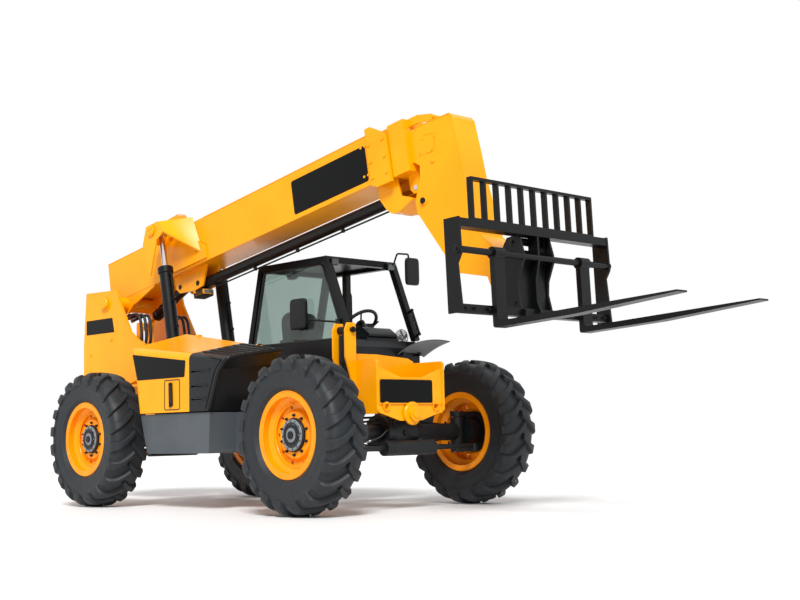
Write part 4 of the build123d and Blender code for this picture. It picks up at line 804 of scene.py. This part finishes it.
shells, faces = [], []
for centre, way in LAMPS:
    housing, face = work_lamp(centre, way)
    shells += housing
    faces.append(face)
piece("cab_lamps", shells, plastic, "root", bevel=1)
piece("cab_lamp_lenses", faces, lens, "root", bevel=3)

# %% [markdown]
# ## Seat
# A suspension seat has a padded cushion and a winged back, each a soft closed form with a sewn
# line round it. A superellipsoid gives the crown and the full corners. Pushing its middle in
# along two lines makes the sewn channels, and a bead of piping hides the seam.

# %% Seat pads
SEAT_Y, PAD_SQUARE, CHANNEL_WIDTH = 690.0, 0.42, 9.0


def seated(centre, lean):
    """A function that leans a pad's points back and sets their zero at the pad's place."""
    return lambda p: leaning(p, (centre[0], centre[2]), lean) + (0, centre[1], 0)


def pad(centre, half, lean, channels, depth):
    """Pad: a superellipsoid whose broad face sinks by a narrow bell along each channel, and whose
    sides rise by the fourth power of how far out they are, then leans back."""
    p, faces = cushion((0, 0, 0), half, PAD_SQUARE, 48, 96)
    sink = depth * sum(np.exp(-((p[:, 0] - x) / CHANNEL_WIDTH) ** 2) for x in channels)
    wing = 0.22 * half[2] * (p[:, 1] / half[1]) ** 4
    p[:, 2] += np.where(p[:, 2] > 0, wing - sink, 0)
    return moved((p, faces), seated(centre, lean))


def piping(centre, half, lean):
    """Piping: the pad's own outline at its waist, thickened to a cord."""
    a = np.linspace(0, 2 * math.pi, 96, endpoint=False)
    x, y = swollen(np.cos(a), PAD_SQUARE) * half[0], swollen(np.sin(a), PAD_SQUARE) * half[1]
    return moved(bar(np.c_[x, y, 0 * a], 4.5, 8, closed=True), seated(centre, lean))


base = ((-228, SEAT_Y, 1348), (236, 228, 46), math.radians(3))
back = ((-478, SEAT_Y, 1585), (244, 216, 44), math.radians(97))
base_pad = piece("seat_cushion", [pad(*base, (-90, 70), 13)], vinyl, "root", sharp=60)
back_pad = piece("seat_back", [pad(*back, (-90, 60), -13)], vinyl, "root", sharp=60)

# %% [markdown]
# Under the pads a pedestal, a pleated boot, a stiff back shell and two arm rests carry them. The
# boot's pleats are round-cornered rings, one above the other and by turns a little shorter.

# %% Seat frame
BOOT_LEVELS = range(1090, 1251, 40)
pedestal = rounded_outline([(-420, 1042), (-120, 1042), (-80, 1300), (-440, 1300)], 12)
back_shell = rounded_outline([(-540, 1400), (-508, 1400), (-528, 1770), (-560, 1760)], 10)
rests = [cushion((-325, SEAT_Y + way * 252, 1530), (172, 21, 19), 0.5, 16, 32) for way in (1, -1)]
shells = [piping(*base), piping(*back), sawn(pedestal, 560, 820), sawn(back_shell, 520, 860), *rests]
for k, z in enumerate(BOOT_LEVELS):
    short = 8 * (k % 2)
    pleat = rounded_outline([(-432 + short, 548), (-100 - short, 548), (-100, 832), (-432, 832)], 30)
    shells.append(bar(np.c_[pleat, np.full(len(pleat), float(z))], 11, 10, closed=True))
piece("seat_frame", shells, vinyl, "root", ["seat"])

# %% [markdown]
# ## Dash and steering wheel
# The wheel is a padded ring on three flat spokes, square to a column that leans back from the
# dash. Its centre cap is turned.

# %% Steering wheel
COLUMN_FOOT, COLUMN_TOP, WHEEL_RADIUS = (520, 1500), (345, 1690), 170
wheel_lean = math.atan2(COLUMN_TOP[1] - COLUMN_FOOT[1], COLUMN_TOP[0] - COLUMN_FOOT[0])
wheel_axis = np.array([math.cos(wheel_lean), 0, math.sin(wheel_lean)])
hub = leaning((205, 0, 0), COLUMN_FOOT, wheel_lean) + (0, SEAT_Y, 0)
grip = bar(circle(hub, wheel_axis, WHEEL_RADIUS, 96), 16, 16, closed=True)
across, down = square_to(wheel_axis)
spokes = []
for a in np.radians([90, 210, 330]):
    rim = hub + (WHEEL_RADIUS - 2) * (math.cos(a) * across + math.sin(a) * down)
    spokes.append(bar(np.linspace(hub - 10 * wheel_axis, rim, 8), 15, 10, 0.35))
cap = turned([(-16, 0), (-16, 44), (8, 48), (18, 36), (22, 0)], hub, wheel_axis)
piece("steering_wheel", [grip, cap, *spokes], vinyl, "root")

# %% [markdown]
# The dash is one moulding, so its hump, cowl, column shroud and stalks are one piece. The hump and
# the cowl are outlines carried across, with edges rounded as a mould rounds them.

# %% Dash
shroud = turned([(-210, 0), (-210, 52), (-60, 40), (-18, 36), (-18, 0)], hub, wheel_axis)
neck = hub - 50 * wheel_axis
stalks = [bar(bent([neck, neck + (20, way * 120, 20), neck + 10 * wheel_axis + (20, way * 190, 60)], 30), 7)
          for way in (1, -1)]
hump = rounded_outline([(502, 1042), (498, 1504), (472, 1545), (486, 1586), (566, 1576), (684, 1504),
                        (690, 1180), (600, 1042)], 16)
cowl = rounded_outline([(455, 1560), (470, 1612), (600, 1600), (700, 1530), (690, 1500)], 16)
gauge = turned([(0, 0), (0, 27), (6, 30), (9, 27), (9, 0)], (474, SEAT_Y, 1530), (-1, 0, 0.25), 32)
gauges = copies(gauge, [(0, y, 0) for y in (-120, -40, 40, 120)])
piece("dash_moulding", [sawn(hump, 495, 885), sawn(cowl, 515, 865), shroud, *stalks, gauges], plastic,
      "root", ["dash"], bevel=5)

# %% [markdown]
# ## Levers, fan and mirrors
# Small controls are thin against the dark cab. The levers have ball grips and stand in pleated
# boots, which are turned from one zigzag profile.

# %% Levers
LEVER_Y, LEVER_X = 330, (40, -60)
BOOT = [(0, 34), (14, 34), (22, 24), (30, 26), (38, 17), (46, 19), (52, 10), (52, 0)]
box = rounded_outline([(-330, 1100), (160, 1100), (200, 1380), (150, 1440), (-300, 1440)], 24)
boots = [turned(BOOT, (x, LEVER_Y, 1438), (0, 0, 1), 24) for x in LEVER_X]
stems = [bar([(x, LEVER_Y, 1480), (x + 14, LEVER_Y, 1600)], 7) for x in LEVER_X]
knobs = [cushion((x + 16, LEVER_Y, 1622), (22, 22, 30), 0.8, 14, 24) for x in LEVER_X]
piece("side_console", [sawn(box, 262, 400), *boots, *stems, *knobs], plastic, "root", bevel=4)

# %% [markdown]
# A small fan stands on the front post. Its cage is bright wire: rings of several sizes, and
# spokes that run over them from the middle to the widest ring on either side.

# %% Fan
FAN = np.array([640.0, 975.0, 1520.0])
CAGE_RINGS = ((-16, 70), (0, 76), (16, 70), (20, 54), (22, 36), (-20, 54), (-22, 36))
WIRES, BLADE_TWIST = 16, 0.4
rings = [bar(circle(FAN + (x, 0, 0), ALONG_X, radius, 48), 2.2, 6, closed=True) for x, radius in CAGE_RINGS]
wires = []
for a in np.linspace(0, 2 * math.pi, WIRES, endpoint=False):
    way = np.array([0, math.cos(a), math.sin(a)])
    for x in (-21, 21):
        wire = [(x * 1.1, 0, 0) + 14 * way, (x, 0, 0) + 50 * way, 76 * way]
        wires.append(bar(FAN + np.array(wire), 1.6, 6))
motor = turned([(-26, 0), (-26, 18), (-18, 26), (18, 26), (24, 14), (24, 0)], FAN, ALONG_X, 24)
blades = []
for a in np.radians([0, 90, 180, 270]):
    middle = (4, 40 * math.cos(a), 40 * math.sin(a))
    tip = (9, 64 * math.cos(a + BLADE_TWIST), 64 * math.sin(a + BLADE_TWIST))
    blades.append(bar(FAN + np.array([(0, 0, 0), middle, tip]), 15, 8, 0.15))
stem = bar(bent([(640, 890, 1470), (640, 975, 1470), (640, 975, 1500)], 20), 8)
piece("wire_fan", [*rings, *wires, *blades, motor, stem], zinc, "root", ["fan"])

# %% [markdown]
# Both mirrors are round-cornered shells on bent steel arms. The glass is a thin sheet that stands
# a little proud of the shell's own face.

# %% Mirrors
RIGHT_Y, LEFT_Y = 196, 1020
right_arm = bar(bent([(90, RIGHT_Y, 1745), (150, 205, 1690), (620, 205, 1632)], 40), 9)
right_shell = cushion((75, RIGHT_Y, 1745), (115, 19, 145), 0.3, 32, 64)
right_foot = block(590, 650, RIGHT_Y, 219, 1600, 1660)
foot_bolts = bolts(upright([(605, 1612), (635, 1648)], RIGHT_Y), (0, -1, 0), 8)
piece("mirror_shell_right", [right_shell, right_arm, right_foot, *foot_bolts], plastic, "root",
      ["mirror_right"])
left_path = upright([(450, 2225), (505, 2228), (556, 2326), (708, 2302), (708, 2255)], LEFT_Y)
left_shell = cushion((708, 1064, 2140), (18, 84, 130), 0.3, 32, 64)
piece("mirror_shell_left", [left_shell, bar(bent(left_path, 22), 9)], plastic, "root", ["mirror_left"])
left_glass = rounded_outline([(994, 2026), (1134, 2026), (1134, 2254), (994, 2254)], 30)
right_glass = rounded_outline([(-22, 1618), (172, 1618), (172, 1872), (-22, 1872)], 36)
piece("mirror_glass", [sawn(left_glass, 688.5, 690.5, "x"), sawn(right_glass, 214, 216)], mirror, "root")

# %% [markdown]
# The mudguard before the cab is one grey moulding, a shallow scoop that rises forward. It is a
# grid between a rear and a front edge, crowned across by a parabola and then given a wall.

# %% Mudguard
GRID, WALL = 16, 0.007
REAR_EDGE = np.array([(758, 800, 1362), (758, 1146, 1350)], float)
FRONT_EDGE = np.array([(1020, 822, 1452), (1112, 1140, 1462)], float)
ARCH, CROWN, LIFTED = 15.6, 30, 12
u, v = np.meshgrid(np.linspace(0, 1, GRID), np.linspace(0, 1, GRID), indexing="ij")
rear, fore = (edge[0] + v[..., None] * (edge[1] - edge[0]) for edge in (REAR_EDGE, FRONT_EDGE))
scoop = rear + u[..., None] * (fore - rear)
scoop[..., 2] += LIFTED + ARCH * np.sin(math.pi * u) - CROWN * (2 * v - 1) ** 2 * (1 - 0.4 * u)
scoop_shell = (scoop.reshape(-1, 3), [quads(GRID, GRID)])
guard = piece("mudguard_scoop", [scoop_shell], grey_plastic, "root", ["mudguard"])
wall = guard.modifiers.new("wall", "SOLIDIFY")
wall.thickness, wall.offset = WALL, 0.0
brackets = [block(745, 800, y - 14, y + 14, 1338, 1372) for y in (850, 1060)]
piece("mudguard_brackets", brackets, plastic, "root", bevel=3)

# %% [markdown]
# Steps, hand rails and the tank's filler finish the near side. Tread plate has raised bars that
# are 4 mm high; they are modelled, because the tread is seen edge-on.

# %% Steps and tank
STEPS = ((540, 1090), (770, 1078))
shells = []
for z, y in STEPS:
    shells += [bar([(x, y - 176, z + 15), (x, y - 10, z + 15)], 4, 6) for x in np.linspace(-40, 340, 14)]
    shells.append(bar([(-60, y - 4, z + 7), (360, y - 4, z + 7)], 9, 8))
rail = bent([(-250, 1112, 1520), (-250, 1146, 1560), (-250, 1146, 2010), (-250, 1112, 2050)], 26)
piece("step_treads", [*shells, bar(rail, 11)], black_enamel, "root")
filler = turned([(0, 0), (0, 44), (8, 48), (26, 48), (32, 40), (32, 0)], (-300, 930, 972), (0, 0, 1), 32)
girth = rounded_outline([(1003, 557), (1003, 943), (327, 943), (327, 557)], 45)
straps = [bar(np.c_[np.full(len(girth), float(x)), girth], 9, 8, 0.3, closed=True) for x in (-560, -330)]
piece("tank_straps", [filler, *straps], plastic, "root")

# %% [markdown]
# ## Frame, axles and tower
# The front frame is welded plate with bolted castings. Its ears carry the levelling cylinder on
# a cross pin; the axle trunnion has a bolted cap. Bolt circles, weld beads and hose ends at
# true size tell the eye how thick the plates are.

# %% Front frame
FRONT, TRUNNION_Z = 1746.0, 786
HOLE_Y, HOLE_Z = 285, 845
TRUNNION_CAP = [(0, 0), (0, 96), (14, 96), (22, 88), (22, 60), (34, 58), (40, 50), (40, 0)]
HOLE_RING = [(-3, 28), (-3, 37), (5, 37), (5, 28), (-3, 28)]
shells = [turned(TRUNNION_CAP, (FRONT, 0, TRUNNION_Z), ALONG_X)]
shells += bolts([(FRONT + 40, 0, TRUNNION_Z)], ALONG_X, 17)
shells += [turned(HOLE_RING, (FRONT, y, HOLE_Z), ALONG_X) for y in (-HOLE_Y, HOLE_Y)]
shells += bolts([(x, -392, z) for x in (1010, 1080) for z in (860, 960, 1060)], (0, -1, 0), 12)
piece("front_frame_bolts", shells, enamel, "root")
seams = [bar([(FRONT - 4, y, 1066), (FRONT - 4, y, 870)], 5, 8) for y in (-383, 383)]
seams.append(bar([(FRONT + 1, -380, 868), (FRONT + 1, 380, 868)], 4, 8))
piece("front_frame_welds", seams, enamel, "root")

# %% [markdown]
# The levelling cylinder between the frame's ears hangs on a cross pin with a cap at each end. Its
# gland, foot ring and pipe are turned and bent like those of the other cylinders, but upright.

# %% Levelling cylinder of the front axle
EAR_Y, EAR_PIN_Z, SWAY_X = -432, 1475, 1420
shells = []
for x, way in ((1520, 1), (1320, -1)):
    shells.append(pin_cap((x, EAR_Y, EAR_PIN_Z), (way, 0, 0), [(0, 24), (8, 26), (14, 22)]))
shells += bolts([(1534, EAR_Y, EAR_PIN_Z)], ALONG_X, 10)
GLAND = [(1200, 0), (1200, 50), (1425, 50), (1432, 44), (1432, 0)]
FOOT_RING = [(835, 40), (835, 44), (850, 44), (850, 40), (835, 40)]
shells += [turned(profile, (SWAY_X, EAR_Y, 0), (0, 0, 1)) for profile in (GLAND, FOOT_RING)]
shells.append(bar(bent(upright([(1458, 1210), (1480, 1210), (1480, 900), (1458, 900)], EAR_Y), 14), 7))
piece("levelling_pin", shells, black_enamel, "root")

# %% [markdown]
# The axles are iron castings: ribs on the banjo, a cover with a ring of bolts, and bolts round
# the arms' flanges and on the kingpin caps.

# %% Axles
COVER_DISH = [(0, 0), (0, 128), (14, 122), (26, 84), (34, 40), (36, 0)]
COVER_OUT, FLANGE_Y, KINGPIN_Y = 120, 700, 790
for end, x in AXLE_X.items():
    way = math.copysign(1, x)
    ahead = (way, 0, 0)
    shells = [turned(COVER_DISH, (x + way * COVER_OUT, 0, AXLE_Z), ahead)]
    shells += bolts(circle((x + way * (COVER_OUT + 8), 0, AXLE_Z), ahead, 114, 14), ahead, 9)
    shells += bolts([(x + way * (COVER_OUT + 36), 0, AXLE_Z)], ahead, 14)
    for side in (-1, 1):
        out = (0, side, 0)
        ribs = [[(x, side * 170, AXLE_Z + z), (x, side * 560, AXLE_Z + 0.62 * z)] for z in (108, -108)]
        shells += [bar(rib, 9, 8) for rib in ribs]
        shells += bolts(circle((x, side * FLANGE_Y, AXLE_Z), out, 96, 8, 0.2), out, 10)
        for up in (1, -1):
            kingpin = (x, side * KINGPIN_Y, AXLE_Z + up * 173)
            shells += bolts(circle(kingpin, (0, 0, up), 46, 4, 0.8), (0, 0, up), 9)
    piece(f"axle_fittings_{end}", shells, casting, "root")

# %% [markdown]
# Hoses are rubber over braid, crimped into plated ends. These few are fixed at both ends to the
# same frame, so they are pieces of it: each is one smooth curve bent from a few points, which
# leaves its fitting straight and never turns tighter than the hose allows.

# %% Hoses on the tower and the front axle
def hose(points, cut, radius=15.0):
    """A hose on a rounded path and its two crimped ends, turned along the first and last legs."""
    p = np.asarray(points, float)
    crimp = [(0, 0), (0, radius + 4), (16, radius + 4), (20, radius + 2), (44, radius + 2), (46, radius),
             (46, 0)]
    ends = [turned(crimp, p[0], p[1] - p[0], 16), turned(crimp, p[-1], p[-2] - p[-1], 16)]
    return bar(bent(p, cut, 12), radius, 14), ends


tower_hoses = []
for k, y in enumerate((-300, -262, -224, 224, 262)):
    drop = 26 * (k % 3)
    path = [(-1880, y, 1360), (-1790 + drop, y, 1620), (-1840 + drop, y * 0.98, 1880),
            (-2110, y * 0.96, 1880 - drop)]
    tower_hoses.append(hose(path, 92))
axle_hoses = [hose([(1560, y, 800), (1640, y, 700), (1600, y * 1.9, 590), (1520, y * 2.6, 560)], 44, 8.0)
              for y in (-120, 120)]
tubes, crimps = zip(*tower_hoses, *axle_hoses)
piece("fixed_hoses", tubes, hose_rubber, "root")
piece("hose_ends", [end for pair in crimps for end in pair], zinc, "root")

# %% [markdown]
# The tower's plates carry the boom's pivot pin, with a cap and three screws at each end, and the
# bolts of the cross plates. The tail lamps are soft-cornered lenses in thin moulded housings.

# %% Tower and rear
TOWER_SIDE, LAMP_Y, LAMP_Z, LAMP_RISE = 400, 330, 1235, 62
TOWER_BOLTS = [(-2200, 1640), (-2600, 1500), (-2600, 1330)]
shells = []
for side in (-1, 1):
    out = (0, side, 0)
    shells.append(pin_cap((PIVOT[0], side * 420, PIVOT[1]), out, [(0, 62), (9, 58), (16, 50)]))
    shells += bolts(circle((PIVOT[0], side * 436, PIVOT[1]), out, 36, 3, 0.5), out, 9)
    shells += bolts(upright(TOWER_BOLTS, side * TOWER_SIDE), out, 13)
piece("tower_bolts", shells, enamel, "root")

for name, kind, z in (("rear_lamp_red", red, LAMP_Z), ("rear_lamp_amber", amber, LAMP_Z + LAMP_RISE)):
    pair = [cushion((-2702, y, z), (9, 44, 26), 0.3, 16, 32) for y in (-LAMP_Y, LAMP_Y)]
    piece(name, pair, kind, "root")
housings = []
for y in (-LAMP_Y, LAMP_Y):
    outline = rounded_outline([(y - 54, 1200), (y + 54, 1200), (y + 54, 1332), (y - 54, 1332)], 14)
    housings.append(sawn(outline, -2703, -2684, "x"))
piece("rear_housings", housings, plastic, "root", bevel=2)

# %% [markdown]
# The small work lamp under the boom is cast aluminium painted dark, with deep cooling fins.

# %% Lamp under the boom
FIN_PITCH, FIN_HALF = 14, 2.5
fins = [block(s - FIN_HALF, s + FIN_HALF, -66, 66, -196, -130) for s in np.arange(1072, 1226, FIN_PITCH)]
glow = block(1226, 1236, -52, 52, -176, -142)
piece("boom_lamp_fins", [moved(s, on_boom) for s in fins], casting, "boom_outer", bevel=1)
piece("boom_lamp_lens", [moved(glow, on_boom)], lens, "boom_outer", bevel=2)

# %% [markdown]
# ## Floor and light
# The machine stands on a white floor that runs into a white sky. The sky only looks white to the
# camera, through glass and in reflections; what lights the machine is a plain level from all
# round, and one broad lamp high on the front right gives the floor its shadow.

# %% Floor
FLOOR_SIZE = 120


def white_floor():
    """Matt white floor: white by its own colour, so that it keeps the machine's shadow."""
    material = bpy.data.materials.new("white_floor")
    material.use_nodes = True
    shader = material.node_tree.nodes["Principled BSDF"]
    shader.inputs["Base Color"].default_value = linear("FAFAFA")
    shader.inputs["Roughness"].default_value = 0.55
    return material


bpy.ops.mesh.primitive_plane_add(size=FLOOR_SIZE)
floor = bpy.context.object
floor.name = "floor"
floor.data.materials.append(white_floor())

# %% [markdown]
# The world's strength is one value for the rays that light the machine and another for those
# that look at it: the larger of three yes-or-no values of the ray's kind picks between them.

# %% Sky and lamp
LIGHT_LEVEL, SEEN_LEVEL = 0.5, 1.0
LAMP_STRENGTH, LAMP_ANGLE, LAMP_FROM = 3.4, 0.3, (0.62, -0.60, 0.80)
world = bpy.data.worlds.new("world")
bpy.context.scene.world = world
world.use_nodes = True
tree = world.node_tree
rays = node_of(tree, "ShaderNodeLightPath").outputs
mirrored = node_of(tree, "ShaderNodeMath", [(rays["Is Glossy Ray"], 0), (rays["Is Transmission Ray"], 1)],
                   operation="MAXIMUM")
seen = node_of(tree, "ShaderNodeMath", [(rays["Is Camera Ray"], 0), (mirrored.outputs[0], 1)],
               operation="MAXIMUM")
strength = node_of(tree, "ShaderNodeMapRange", [(seen.outputs[0], "Value")])
strength.inputs["To Min"].default_value, strength.inputs["To Max"].default_value = LIGHT_LEVEL, SEEN_LEVEL
background = tree.nodes["Background"].inputs
background["Color"].default_value = (1, 1, 1, 1)
tree.links.new(strength.outputs["Result"], background["Strength"])

sun = bpy.data.lights.new("lamp", "SUN")
sun.energy, sun.angle = LAMP_STRENGTH, LAMP_ANGLE
lamp = bpy.data.objects.new("lamp", sun)
lamp.rotation_euler = Vector(LAMP_FROM).to_track_quat("Z", "Y").to_euler()
bpy.context.scene.collection.objects.link(lamp)
bpy.context.scene.view_settings.view_transform = "Standard"
print("sky", LIGHT_LEVEL, "seen as", SEEN_LEVEL)
